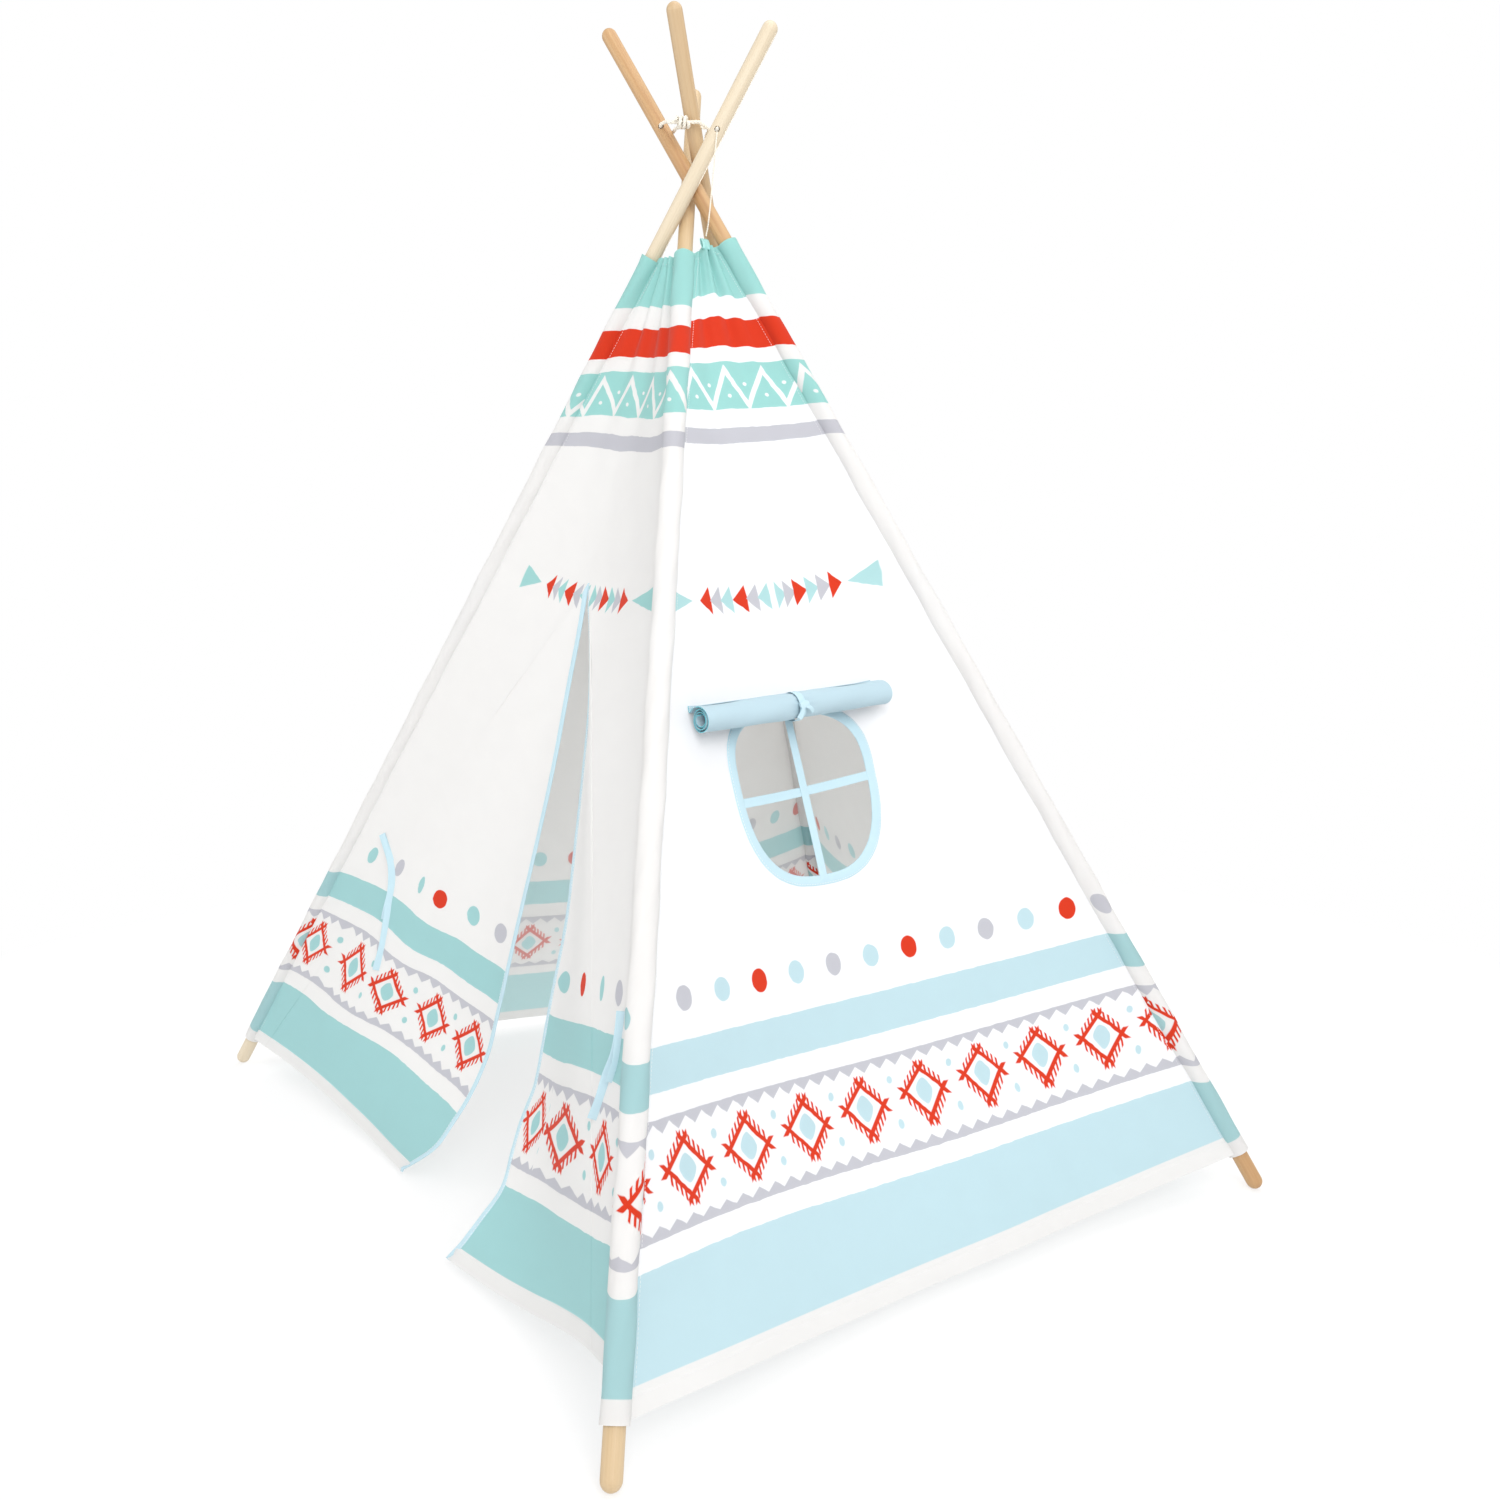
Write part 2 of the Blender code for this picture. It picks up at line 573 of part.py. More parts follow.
def make_window(cotton, blue, pivot):
    """Window side with its rounded opening, the bound edge and the crossed glazing bars."""
    panel = make_panel("window_panel", WINDOW, 17, 21, cotton, pivot)
    angle = np.arange(40) * 2 * math.pi / 40
    height, sideways = window_outline(angle, FIT_GAP)
    loop = on_window(height, sideways)
    solid = bmesh.new()
    near = [solid.verts.new(p - WINDOW.out * CUT_OVERRUN) for p in loop]
    far = [solid.verts.new(p + WINDOW.out * CUT_OVERRUN) for p in loop]
    for j in range(len(loop)):
        k = (j + 1) % len(loop)
        solid.faces.new((near[j], near[k], far[k], far[j]))
    solid.faces.new(near[::-1])
    solid.faces.new(far)
    bmesh.ops.recalc_face_normals(solid, faces=solid.faces)
    mesh = bpy.data.meshes.new("window_cutter")
    solid.to_mesh(mesh)
    solid.free()
    cut(panel, add_piece("window_cutter", mesh, blue, pivot))

    rings = [on_window(*window_outline(angle, grow)) for grow in (0.0, -WINDOW_BINDING)]
    ring = add_piece("window_binding", grid_mesh("window_binding", np.array(rings), True), blue, pivot)
    thicken(ring, BINDING_THICKNESS)

    top, _ = window_outline(math.pi / 2, -WINDOW_BINDING - FIT_GAP)
    bottom, _ = window_outline(-math.pi / 2, -WINDOW_BINDING - FIT_GAP)
    length = np.linspace(bottom, top, 9)[:, None]
    half = np.array([[-0.5, 0.5]]) * MUNTIN_WIDTH
    upright = on_window(length + 0 * half, WINDOW_SIDEWAYS + half + 0 * length, MUNTIN_STEP / 2 + MUNTIN_THICKNESS / 2)
    bar = add_piece("muntin_upright", grid_mesh("muntin_upright", upright), blue, pivot)
    thicken(bar, MUNTIN_THICKNESS)

    low_end = CROSS_BAR_DROP + (CROSS_BAR_LEAN_SHARE * WINDOW_WIDTH + MUNTIN_WIDTH) / 2
    turn = math.asin(min(1.0, low_end / (WINDOW_DOWN - WINDOW_BINDING))**(WINDOW_POWER / 2))
    _, end = window_outline(-turn, -WINDOW_BINDING - FIT_GAP * 2)
    reach = end - WINDOW_SIDEWAYS
    length = WINDOW_SIDEWAYS + np.linspace(-reach, reach, 9)[None, :]
    height = CROSS_BAR_HEIGHT + CROSS_BAR_LEAN_SHARE * (length - WINDOW_SIDEWAYS)
    cross = on_window(height + half.T, length + 0 * half.T,
                      -MUNTIN_STEP / 2 - MUNTIN_THICKNESS / 2)
    bar = add_piece("muntin_cross", grid_mesh("muntin_cross", cross), blue, pivot)
    thicken(bar, MUNTIN_THICKNESS)


def roll_axis():
    """Ends of the rolled blind's centre line, clear of the cloth behind both ends."""
    stand = CLOTH_THICKNESS / 2 + ROLL_CLEARANCE + ROLL_RADIUS
    half = ROLL_LENGTH / 2
    return [on_window(ROLL_CENTRE + side * half * ROLL_LEAN_SHARE, ROLL_SIDEWAYS + side * half, stand)
            for side in (-1, 1)]


def slide_direction():
    """Down the window side, along its cloth at the middle of the roll."""
    low = on_window(ROLL_CENTRE - BLIND_TRAVEL, ROLL_SIDEWAYS)
    return unit(low - on_window(ROLL_CENTRE, ROLL_SIDEWAYS))


def make_blind(blue, pivot, slide_pivot, roll_pivot):
    """Cloth blind rolled up over the window: header, roll and the ribbon tied round its middle."""
    left, right = roll_axis()
    along = unit(right - left)
    down = slide_direction()
    front = unit(np.cross(along, down))
    if front @ WINDOW.out < 0:
        front = -front
    up = unit(np.cross(front, along))
    if up @ down > 0:
        up = -up

    points = 16 * ROLL_TURNS + 1
    turn = np.linspace(0, 1, points)
    angle = 2 * math.pi * ROLL_TURNS * turn + math.pi / 2
    inner = ROLL_RADIUS - ROLL_TURNS * (ROLL_CLOTH + 2 * WRAP_GAP)
    radius = inner + (ROLL_RADIUS - ROLL_CLOTH / 2 - inner) * turn
    pitch = (ROLL_RADIUS - ROLL_CLOTH / 2 - inner) / ROLL_TURNS
    print("blind roll: least gap between turns", round(1000 * (pitch - ROLL_CLOTH), 2), "mm")
    section = radius[:, None] * (np.cos(angle)[:, None] * front + np.sin(angle)[:, None] * up)
    roll = add_piece("blind_roll", grid_mesh("blind_roll", np.array([left + section, right + section])), blue, roll_pivot)
    thicken(roll, ROLL_CLOTH)

    lean = math.radians(115)
    reach = (ROLL_RADIUS + FIT_GAP + BLIND_TIE_WALL) / math.cos(math.pi / ROUND_SIDES) + HEADER_THICKNESS * 2 / 3
    seat = reach * (math.cos(lean) * front + math.sin(lean) * up)
    share = np.linspace(0, 1, 13)[None, :, None]
    low = left + seat + (right - left) * share
    sideways = ROLL_SIDEWAYS + (share[..., 0] - 0.5) * ROLL_LENGTH
    lift = CLOTH_THICKNESS / 2 + HEADER_STAND + HEADER_THICKNESS / 2
    top = HEADER_TOP + ROLL_LEAN_SHARE * (sideways - ROLL_SIDEWAYS)
    high = on_window(top, sideways, lift)
    knee = on_window(top - HEADER_SEAM, sideways, lift)
    middle = knee * 0.5 + low * 0.5 + front * HEADER_STAND
    header = np.concatenate([low, middle, knee, high], axis=0)
    piece = add_piece("blind_header", grid_mesh("blind_header", header), blue, pivot)
    thicken(piece, HEADER_THICKNESS)

    centre = (left + right) / 2
    angle = np.arange(ROUND_SIDES) * 2 * math.pi / ROUND_SIDES
    radius = ROLL_RADIUS + FIT_GAP + BLIND_TIE_WALL / 2
    loop = radius / math.cos(math.pi / ROUND_SIDES) * (np.cos(angle)[:, None] * front + np.sin(angle)[:, None] * up)
    loop[:, :] += centre
    side = along * BLIND_TIE_WIDTH / 2
    ring = add_piece("blind_tie", grid_mesh("blind_tie", np.array([loop - side, loop + side]), True), blue, slide_pivot)
    thicken(ring, BLIND_TIE_WALL)
    return left, right, down


def make_tie(name, shares, blue, pivot):
    """Flat ribbon lying down the door side from its stitched end."""
    foot, top = shares[0][0], shares[-1][0]
    half = np.array([[-0.5, 0.5]]) * TIE_WIDTH
    run = np.linspace(foot, top, 9)[:, None] + 0 * half
    s = run * SLIT_TOP
    t = curve_through(shares, run) + half / DOOR.width(s)
    stand = CLOTH_THICKNESS / 2 + TIE_STAND + TIE_THICKNESS / 2
    line = RIGHT_LINE if shares[-1][1] > SLIT_SHARE else LEFT_LINE
    free = RIGHT_EDGE_SHARES if line.from_second else LEFT_EDGE_SHARES
    tau = (t - line.share(s)) / (curve_through(free, s / SLIT_TOP) - line.share(s))
    ease = line.ease(s)
    ease = ease + (1 - ease) * smooth(tau)
    fade = np.where(tau > 0, 1 - smooth(tau), 1.0)
    ribbon = DOOR.point(s, t, stand - DOOR.folds(s, t) * fade, ease)
    piece = add_piece(name, grid_mesh(name, ribbon), blue, pivot)
    thicken(piece, TIE_THICKNESS)


def spline_points(route, step):
    """Even points on a smooth curve through the route's own points."""
    route = np.array(route)
    padded = np.vstack([2 * route[0] - route[1], route, 2 * route[-1] - route[-2]])
    fine = []
    for a, b, c, d in zip(padded, padded[1:], padded[2:], padded[3:]):
        r = np.linspace(0, 1, 24, endpoint=False)[:, None]
        fine.append(0.5 * (2 * b + (c - a) * r + (2 * a - 5 * b + 4 * c - d) * r**2 + (3 * b - a - 3 * c + d) * r**3))
    fine = np.vstack(fine + [route[-1:]])
    run = np.concatenate([[0], np.cumsum(np.linalg.norm(np.diff(fine, axis=0), axis=1))])
    even = np.linspace(0, run[-1], max(2, round(run[-1] / step)) + 1)
    return np.stack([np.interp(even, run, fine[:, k]) for k in range(3)], axis=1)


def make_cord(name, points, radius, resolution, material, pivot):
    """Round cord along points."""
    curve = bpy.data.curves.new(name, "CURVE")
    curve.dimensions = "3D"
    curve.bevel_depth = radius
    curve.bevel_resolution = resolution
    curve.use_fill_caps = True
    line = curve.splines.new("POLY")
    line.points.add(len(points) - 1)
    for spot, place in zip(line.points, points):
        spot.co = (*(Vector(place) - Vector(pivot["place"])), 1.0)
    cord = bpy.data.objects.new(name, curve)
    bpy.context.collection.objects.link(cord)
    cord.parent = pivot
    curve.materials.append(material)


def least_gap(points, diameter):
    """Smallest clearance between stretches of one cord that are over two diameters apart along it."""
    run = np.concatenate([[0], np.cumsum(np.linalg.norm(np.diff(points, axis=0), axis=1))])
    apart = np.linalg.norm(points[:, None] - points[None, :], axis=2)
    apart[np.abs(run[:, None] - run[None, :]) < 2.5 * diameter] = np.inf
    return apart.min() - diameter


def make_lashing(rope, pivot):
    """Rope threaded through the four cross holes, its wrapped knot and the cord that holds up the canopy."""
    hole = {name: rope_hole(POLE[name]) for name in POLES}
    near, right = FORWARD, SIDEWAYS
    up = np.array([0.0, 0.0, 1.0])
    reach = HOLE_ROUTE_REACH
    route = [hole["left"] + near * 0.0160, hole["left"] + near * 0.0080, hole["left"],
             hole["left"] - near * 0.0100, hole["left"] - near * 0.0180, hole["back"] + right * 0.0110 + near * 0.0170, hole["back"] + right * 0.0010 + near * 0.0210,
             hole["back"] - right * 0.0060 + near * 0.0215, hole["back"] - right * 0.0150 + near * 0.0215,
             hole["back"] - right * 0.0240 + near * 0.0215, hole["back"] - right * 0.0330 + near * 0.0215,
             hole["right"] + right * 0.0090 + near * 0.0290, hole["right"] + near * reach, hole["right"],
             hole["right"] - near * reach, hole["right"] + right * 0.0140 - near * 0.0160,
             hole["back"] - right * 0.0240 - near * 0.0015, hole["back"] - right * 0.0140, hole["back"],
             hole["back"] + right * 0.0140, hole["back"] + right * 0.0220 - near * 0.0060,
             hole["back"] + right * 0.0170 - near * 0.0250 - up * 0.0060,
             hole["front"] + right * 0.0340 + near * 0.0200 + up * 0.0060, hole["front"] + right * 0.0250,
             hole["front"] + right * 0.0125, hole["front"], hole["front"] - right * 0.0125,
             hole["front"] - right * 0.0180]
    path = spline_points(route, ROPE_POINT_STEP / 4)
    for name in POLES:
        pole = POLE[name]
        away = path - pole.tip
        level = away - np.multiply.outer(away @ pole.up, pole.up)
        in_hole = np.linalg.norm(np.cross(path - hole[name], ROPE_RUN[name]), axis=1) < ROPE_RADIUS
        distance = np.where(in_hole, np.inf, np.linalg.norm(level, axis=1)) - POLE_RADIUS - ROPE_RADIUS
        print("rope to", name, "pole: least gap", round(1000 * distance.min(), 2), "mm")
    print("rope: least gap to itself", round(1000 * least_gap(path, ROPE_DIAMETER), 2), "mm")
    make_cord("lashing_rope", spline_points(route, ROPE_POINT_STEP), ROPE_RADIUS, 2, rope, pivot)

    start = hole["back"] - right * 0.0235 + near * 0.0215
    turn = np.linspace(0, WRAP_TURNS, 16 * WRAP_TURNS + 1)[:, None]
    radius = ROPE_DIAMETER + WRAP_GAP
    spin = radius * (np.cos(2 * math.pi * turn) * near + np.sin(2 * math.pi * turn) * up)
    wrap = start + right * WRAP_PITCH * turn + spin
    print("lashing wrap: least gap to itself", round(1000 * least_gap(wrap, ROPE_DIAMETER), 2), "mm")
    gap = np.linalg.norm(wrap[:, None] - path[None], axis=2).min() - ROPE_DIAMETER
    print("lashing wrap to rope: least gap", round(1000 * gap, 2), "mm")
    for name in POLES:
        pole = POLE[name]
        away = wrap - pole.tip
        level = away - np.multiply.outer(away @ pole.up, pole.up)
        print("wrap to", name, round(1000 * (np.linalg.norm(level, axis=1).min() - POLE_RADIUS - ROPE_RADIUS), 2), "mm")
    make_cord("lashing_wrap", wrap, ROPE_RADIUS, 1, rope, pivot)

    tab_top = WINDOW.point(CANOPY_TOP, 0.5)
    end = hole["left"] + near * (POLE_RADIUS + HANG_CORD_DIAMETER + FIT_GAP)
    drop = [end - up * (ROPE_RADIUS + HANG_CORD_DIAMETER / 2 - FIT_GAP), end + (tab_top - end) * 0.33 - up * ROPE_DIAMETER,
            tab_top + (end - tab_top) * 0.25, tab_top + up * (TAB_HEIGHT + HANG_CORD_DIAMETER)]
    make_cord("hang_cord", spline_points(drop, 3 * HANG_CORD_DIAMETER), HANG_CORD_DIAMETER / 2, 2, rope, pivot)


def make_tab(cotton, pivot):
    """Small loop of tape that stands on the middle of the window side's top edge."""
    rise = unit(WINDOW.first.up + WINDOW.second.up)
    foot = WINDOW.point(CANOPY_TOP, 0.5) + rise * (CLOTH_THICKNESS / 2 + FIT_GAP)
    grid = np.array([[foot + rise * TAB_HEIGHT * a + WINDOW.across * TAB_WIDTH * b for b in (-0.5, 0.5)]
                     for a in (0, 1)])
    piece = add_piece("canopy_tab", grid_mesh("canopy_tab", grid), cotton, pivot)
    thicken(piece, TAB_THICKNESS)


def main():
    clear_scene()
    wood = make_material("pine", WOOD, 0.55)
    tin = make_material("tin", TIN, 0.35, 1.0)
    cotton = make_material("cotton", COTTON, 0.9)
    blue = make_material("pale_blue_cotton", PALE_BLUE, 0.9)
    rope = make_material("rope", ROPE_COTTON, 0.95)

    root = make_pivot("root", (0.0, 0.0, 0.0))
    crown = make_pivot("crown", POLE["front"].neck, root)
    pivots = {"front": root}
    for name in POLES[1:]:
        pivots[name] = make_pivot(f"pole_{name}", POLE[name].neck, crown)
    for name in POLES:
        make_pole(name, wood, tin, cotton, pivots[name])

    make_door(cotton, root)
    flap_left = make_pivot("flap_left", LEFT_LINE.axis()[0], pivots["left"])
    flap_right = make_pivot("flap_right", RIGHT_LINE.axis()[0], root)
    make_flap("door_flap_left", LEFT_LINE, LEFT_EDGE_SHARES, cotton, blue, flap_left)
    make_flap("door_flap_right", RIGHT_LINE, RIGHT_EDGE_SHARES, cotton, blue, flap_right)
    make_tie("door_tie_left", LEFT_TIE_SHARES, blue, pivots["left"])
    make_tie("door_tie_right", RIGHT_TIE_SHARES, blue, root)

    make_window(cotton, blue, root)
    left, right = roll_axis()
    blind = make_pivot("blind", (left + right) / 2, root)
    roll = make_pivot("roll", (left + right) / 2, blind)
    make_blind(blue, root, blind, roll)
    make_panel("back_panel", REAR, 15, 15, cotton, pivots["back"])
    make_panel("left_panel", SIDE, 15, 15, cotton, pivots["back"])
    make_tab(cotton, root)
    make_lashing(rope, crown)

    for name in POLES:
        pole = POLE[name]
        print(name, "neck", np.round(pole.neck, 4), "hinge", np.round(pole.hinge, 5), "lean",
              round(math.degrees(pole.lean), 2))
    for label, line in (("left flap", LEFT_LINE), ("right flap", RIGHT_LINE)):
        low, high = line.axis()
        print(label, "from", np.round(low, 4), "along", np.round(unit(high - low), 5))
    print("roll from", np.round(left, 4), "along", np.round(unit(right - left), 5), "slide", np.round(slide_direction(), 5))


main()
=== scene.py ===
"""Kids teepee: the photographed view, with printed cotton, bindings, stitches and rope computed as surfaces.

Metres, +Z up, in the frame of the CAD. The door looks along -Y and the window along +X.
"""
import math

import bpy
import numpy as np
from mathutils import Matrix, Vector


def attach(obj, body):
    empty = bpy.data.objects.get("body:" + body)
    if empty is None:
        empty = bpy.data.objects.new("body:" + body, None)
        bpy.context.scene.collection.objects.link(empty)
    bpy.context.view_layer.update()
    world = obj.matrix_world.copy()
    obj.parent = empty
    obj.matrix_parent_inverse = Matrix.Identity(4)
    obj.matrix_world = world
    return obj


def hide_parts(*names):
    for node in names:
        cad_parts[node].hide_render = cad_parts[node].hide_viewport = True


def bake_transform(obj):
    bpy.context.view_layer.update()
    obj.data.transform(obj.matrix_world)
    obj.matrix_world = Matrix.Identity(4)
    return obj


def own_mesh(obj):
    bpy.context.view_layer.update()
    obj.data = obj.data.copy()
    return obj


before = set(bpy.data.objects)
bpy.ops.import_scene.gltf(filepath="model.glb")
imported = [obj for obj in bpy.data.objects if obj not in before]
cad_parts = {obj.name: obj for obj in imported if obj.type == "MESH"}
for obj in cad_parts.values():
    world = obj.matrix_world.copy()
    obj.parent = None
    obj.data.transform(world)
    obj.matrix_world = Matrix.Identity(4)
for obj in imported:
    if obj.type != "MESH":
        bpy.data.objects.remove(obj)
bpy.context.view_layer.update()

# Camera, from the feet, tops and hems of the photograph
CAMERA_PLACE = (1.6426, -0.9909, 0.8322)
CAMERA_AZIMUTH = 57.97
CAMERA_ELEVATION = 7.40
CAMERA_ROLL = -0.095
CAMERA_LENS = 36.0 * 1273.08 / 1500

# Stance and poles, as in the CAD
FOOT = {"front": (0.657, -0.527), "left": (-0.657, -0.605), "right": (0.592, 0.491), "back": (-0.580, 0.605)}
NECK = np.array([-0.018, -0.0418, 1.3937])
POLE_DIAMETER = 0.022
POLE_RADIUS = POLE_DIAMETER / 2
POLE_LENGTH = 1.8640
FOOT_FLAT_DEPTH = 0.0005
ACROSS_SHARES = {"front": -0.86, "left": 0.0, "right": 0.0, "back": 0.19}
ALONG_SHARES = {"front": 1.20, "left": -1.25, "right": -0.20, "back": 1.50}
ACROSS = np.array([1.0, 1.0, 0.0]) * math.sqrt(0.5)
ALONG = np.array([-1.0, 1.0, 0.0]) * math.sqrt(0.5)
POLES = ("front", "left", "right", "back")

# Canopy, as in the CAD
CLOTH = 0.003
SLEEVE_OUTER = 0.0135
CANOPY_TOP = 1.521
CANOPY_HEM = 0.0561
HEM_DROP = 0.012
SURFACE_OFFSET = 0.006
SAG_SHARE = 0.100
HEM_SAG_SHARE = 0.055
HEM_RISE = 0.220
FOLD_DEPTH = 0.004
FOLD_START = 1.050
DRAPE_DEPTH = 0.003
SLIT_TOP = 1.000
SLIT_SHARE = 0.47
HINGE_FROM_POLE = 0.055
HINGE_FOOT = 0.050
FLAP_FLARE = 0.032
FLARE_HEIGHT = 0.160
LEFT_EDGE = ((0.038, 0.448), (0.070, 0.480), (0.100, 0.503), (0.150, 0.511), (0.250, 0.505), (0.370, 0.507),
             (0.550, 0.508), (0.720, 0.506), (0.840, 0.494), (0.920, 0.486), (1.0, 0.470))
RIGHT_EDGE = ((0.018, 0.648), (0.055, 0.667), (0.096, 0.675), (0.130, 0.676), (0.165, 0.660), (0.210, 0.645),
              (0.267, 0.647), (0.379, 0.649), (0.500, 0.656), (0.600, 0.643), (0.700, 0.625), (0.816, 0.590),
              (0.900, 0.543), (0.930, 0.521), (0.965, 0.490), (1.0, 0.470))
LEFT_TIE = ((0.288, 0.215), (0.342, 0.204), (0.401, 0.186), (0.455, 0.160), (0.514, 0.083))
RIGHT_TIE = ((0.304, 0.908), (0.322, 0.917), (0.356, 0.936), (0.395, 0.958), (0.438, 0.965))
WINDOW_CENTRE = 0.714
WINDOW_SIDEWAYS = -0.0386
WINDOW_WIDTH = 0.236
WINDOW_UP = 0.097
WINDOW_DOWN = 0.153
WINDOW_POWER = 2.7
WINDOW_BINDING = 0.012
CROSS_BAR_HEIGHT = 0.689
CROSS_BAR_LEAN = 0.089
ROLL_LENGTH = 0.311
ROLL_RADIUS = 0.018
ROLL_CENTRE = 0.7947
ROLL_SIDEWAYS = -0.0525
ROLL_LEAN = 0.073
HEADER_TOP = 0.8217
HEADER_SEAM = 0.009
BLIND_TRAVEL = 0.250
ROPE_HOLE_BELOW_TOP = 0.151
ROPE_TURN = math.radians(-32)

# The dressed cloth
FABRIC = 0.0011
SLEEVE_RADIUS = 0.0143
HEM_HEIGHT = 0.021
HEM_EXTRA = 0.0007
TOP_EXTRA = 0.0006
SEAM_LAP = 0.0014
SEAM_AWAY = 0.0042
HEM_STITCH_DROP = 0.0030
TOP_STITCH_DROP = 0.0115
ROW_STEP = 0.0085
TOP_HEM_ROWS = np.array([0.020, 0.0155, 0.0148, 0.0141, 0.013, 0.007, 0.0015, 0.0])

# Lower edge of the door side's cloth as (share across, height)
DOOR_LOW = ((0.0, 0.0561), (0.11, 0.0550), (0.23, 0.0500), (0.31, 0.0430), (0.40, 0.0360), (0.55, 0.0340),
            (0.66, 0.0240), (0.69, 0.0270), (0.75, 0.0360), (0.81, 0.0510), (0.87, 0.0700), (0.93, 0.0870),
            (1.0, 0.0980))

# How far the print's rows lie above their straight place, as (share across, metres), at heights up each side
WINDOW_ROWS = ((0.175, ((0.0, 0.0), (0.27, -0.001), (0.35, -0.005), (0.43, -0.0075), (0.50, -0.0095), (1.0, -0.0095))),
               (0.205, ((0.0, 0.0), (0.20, 0.0014), (0.31, -0.0010), (0.39, -0.0036), (0.46, -0.0070), (1.0, -0.0070))),
               (0.267, ((0.0, 0.0), (1.0, 0.0))),
               (0.325, ((0.0, 0.0), (0.20, 0.0015), (0.30, 0.0), (0.38, -0.0012), (0.47, -0.0030), (1.0, -0.0030))),
               (0.380, ((0.0, 0.0), (1.0, 0.0))),
               (0.453, ((0.0, -0.0030), (0.15, 0.0), (1.0, 0.0))),
               (0.970, ((0.0, -0.0204), (1.0, 0.0204))),
               (1.290, ((0.0, 0.0), (0.1, 0.0), (0.25, 0.004), (0.4, 0.007), (0.6, 0.007), (0.75, 0.005),
                        (1.0, 0.001))),
               (1.440, ((0.0, -0.002), (0.15, 0.004), (0.3, 0.011), (0.5, 0.010), (0.62, 0.007), (0.75, 0.0),
                        (1.0, -0.002))))
DOOR_BAND = ((0.0, 0.016), (0.087, 0.0182), (0.158, 0.0168), (0.222, 0.0078), (0.261, -0.0031), (0.298, -0.0084),
             (0.368, -0.0107), (0.402, -0.0167), (0.472, -0.0214), (0.65, -0.0430), (0.70, -0.0367), (0.807, -0.0184),
             (0.872, -0.0080), (0.917, -0.0029), (0.957, 0.0030), (1.0, 0.0060))
DOOR_ROWS = ((0.175, ((0.0, 0.003), (0.08, 0.0013), (0.122, -0.0043), (0.164, -0.0067), (0.321, -0.0072),
                      (0.395, -0.0162), (0.5, -0.0229), (0.655, -0.0479), (0.693, -0.0431), (0.756, -0.0292),
                      (0.829, -0.0127), (0.895, 0.0029), (0.948, 0.0157), (0.971, 0.0219), (1.0, 0.022))),
             (0.205, ((0.0, 0.006), (0.072, 0.0067), (0.118, 0.0028), (0.16, -0.0044), (0.201, -0.0078),
                      (0.279, -0.0050), (0.352, -0.0101), (0.424, -0.0175), (0.481, -0.0208), (0.65, -0.0499),
                      (0.691, -0.0446), (0.762, -0.0312), (0.841, -0.0109), (0.904, 0.0037), (0.953, 0.0149),
                      (0.974, 0.0205), (1.0, 0.022))),
             (0.325, ((0.0, 0.016), (0.075, 0.0145), (0.169, 0.0112), (0.232, -0.0038), (0.27, -0.0091),
                      (0.324, -0.0085), (0.41, -0.0193), (0.481, -0.0238), (0.65, -0.046), (0.714, -0.039),
                      (0.824, -0.0159), (0.896, -0.002), (0.958, 0.0053), (1.0, 0.008))),
             (0.380, DOOR_BAND), (0.460, DOOR_BAND),
             (0.970, ((0.0, 0.040), (0.20, 0.0243), (0.38, 0.0074), (0.60, -0.0022), (0.87, -0.012), (1.0, -0.016))),
             (1.290, ((0.0, 0.010), (0.06, 0.011), (0.22, 0.0165), (0.30, 0.0165), (0.38, 0.014), (0.46, 0.010),
                      (0.54, 0.0095), (0.62, 0.0045), (0.70, -0.002), (1.0, -0.003))),
             (1.440, ((0.0, 0.005), (0.35, 0.007), (0.6, 0.002), (1.0, 0.001))))
PLAIN_ROWS = ((0.2, ((0.0, 0.0), (1.0, 0.0))), (1.4, ((0.0, 0.0), (1.0, 0.0))))

# Places of the door's diamonds and dots: share across, metres from the middle in the print, half width across.
# Arrowheads have the first two of these.
DOOR_DIAMONDS = ((0.041, -0.4405, 0.0355), (0.158, -0.3440, 0.032), (0.250, -0.2475, 0.0415),
                 (0.356, -0.1510, 0.0343), (0.453, -0.0545, 0.039), (0.688, 0.1385, 0.032), (0.802, 0.2350, 0.0787),
                 (0.935, 0.3315, 0.0264))
DOOR_DOTS = ((0.080, -0.3662, 0.0123), (0.169, -0.3038, 0.0114), (0.241, -0.2414, 0.0060), (0.295, -0.1790, 0.0175),
             (0.3805, -0.1166, 0.0158), (0.459, -0.0542, 0.0181), (0.703, 0.0082, 0.0321), (0.8215, 0.0706, 0.0104),
             (0.888, 0.1330, 0.0059), (0.9454, 0.1954, 0.0120))
DIAMOND_HALF = 0.0357
DOT_HALF = 0.01225
DOOR_ARROWS = ((0.0, -0.2850), (0.196, -0.1845), (0.2855, -0.1385), (0.3805, -0.0760), (0.593, 0.0280), (0.716, 0.0840),
               (0.868, 0.1285), (1.0, 0.1670))


def unit(v):
    return v / np.linalg.norm(v)


def units(v):
    """Every vector of an array at length one."""
    return v / np.maximum(np.linalg.norm(v, axis=-1, keepdims=True), 1e-12)


def smooth(x):
    """Smoothstep: 0 below 0, 1 above 1, 3x^2 - 2x^3 between."""
    x = np.clip(x, 0.0, 1.0)
    return x * x * (3 - 2 * x)


def curve_through(knots, x):
    """Cubic through (place, value) knots with each slope taken from its neighbours."""
    places, values = np.array(knots, float).T
    slopes = np.gradient(values, places)
    x = np.clip(x, places[0], places[-1])
    i = np.clip(np.searchsorted(places, x) - 1, 0, len(places) - 2)
    step = places[i + 1] - places[i]
    r = (x - places[i]) / step
    return ((2 * r**3 - 3 * r**2 + 1) * values[i] + (r**3 - 2 * r**2 + r) * step * slopes[i]
            + (3 * r**2 - 2 * r**3) * values[i + 1] + (r**3 - r**2) * step * slopes[i + 1])


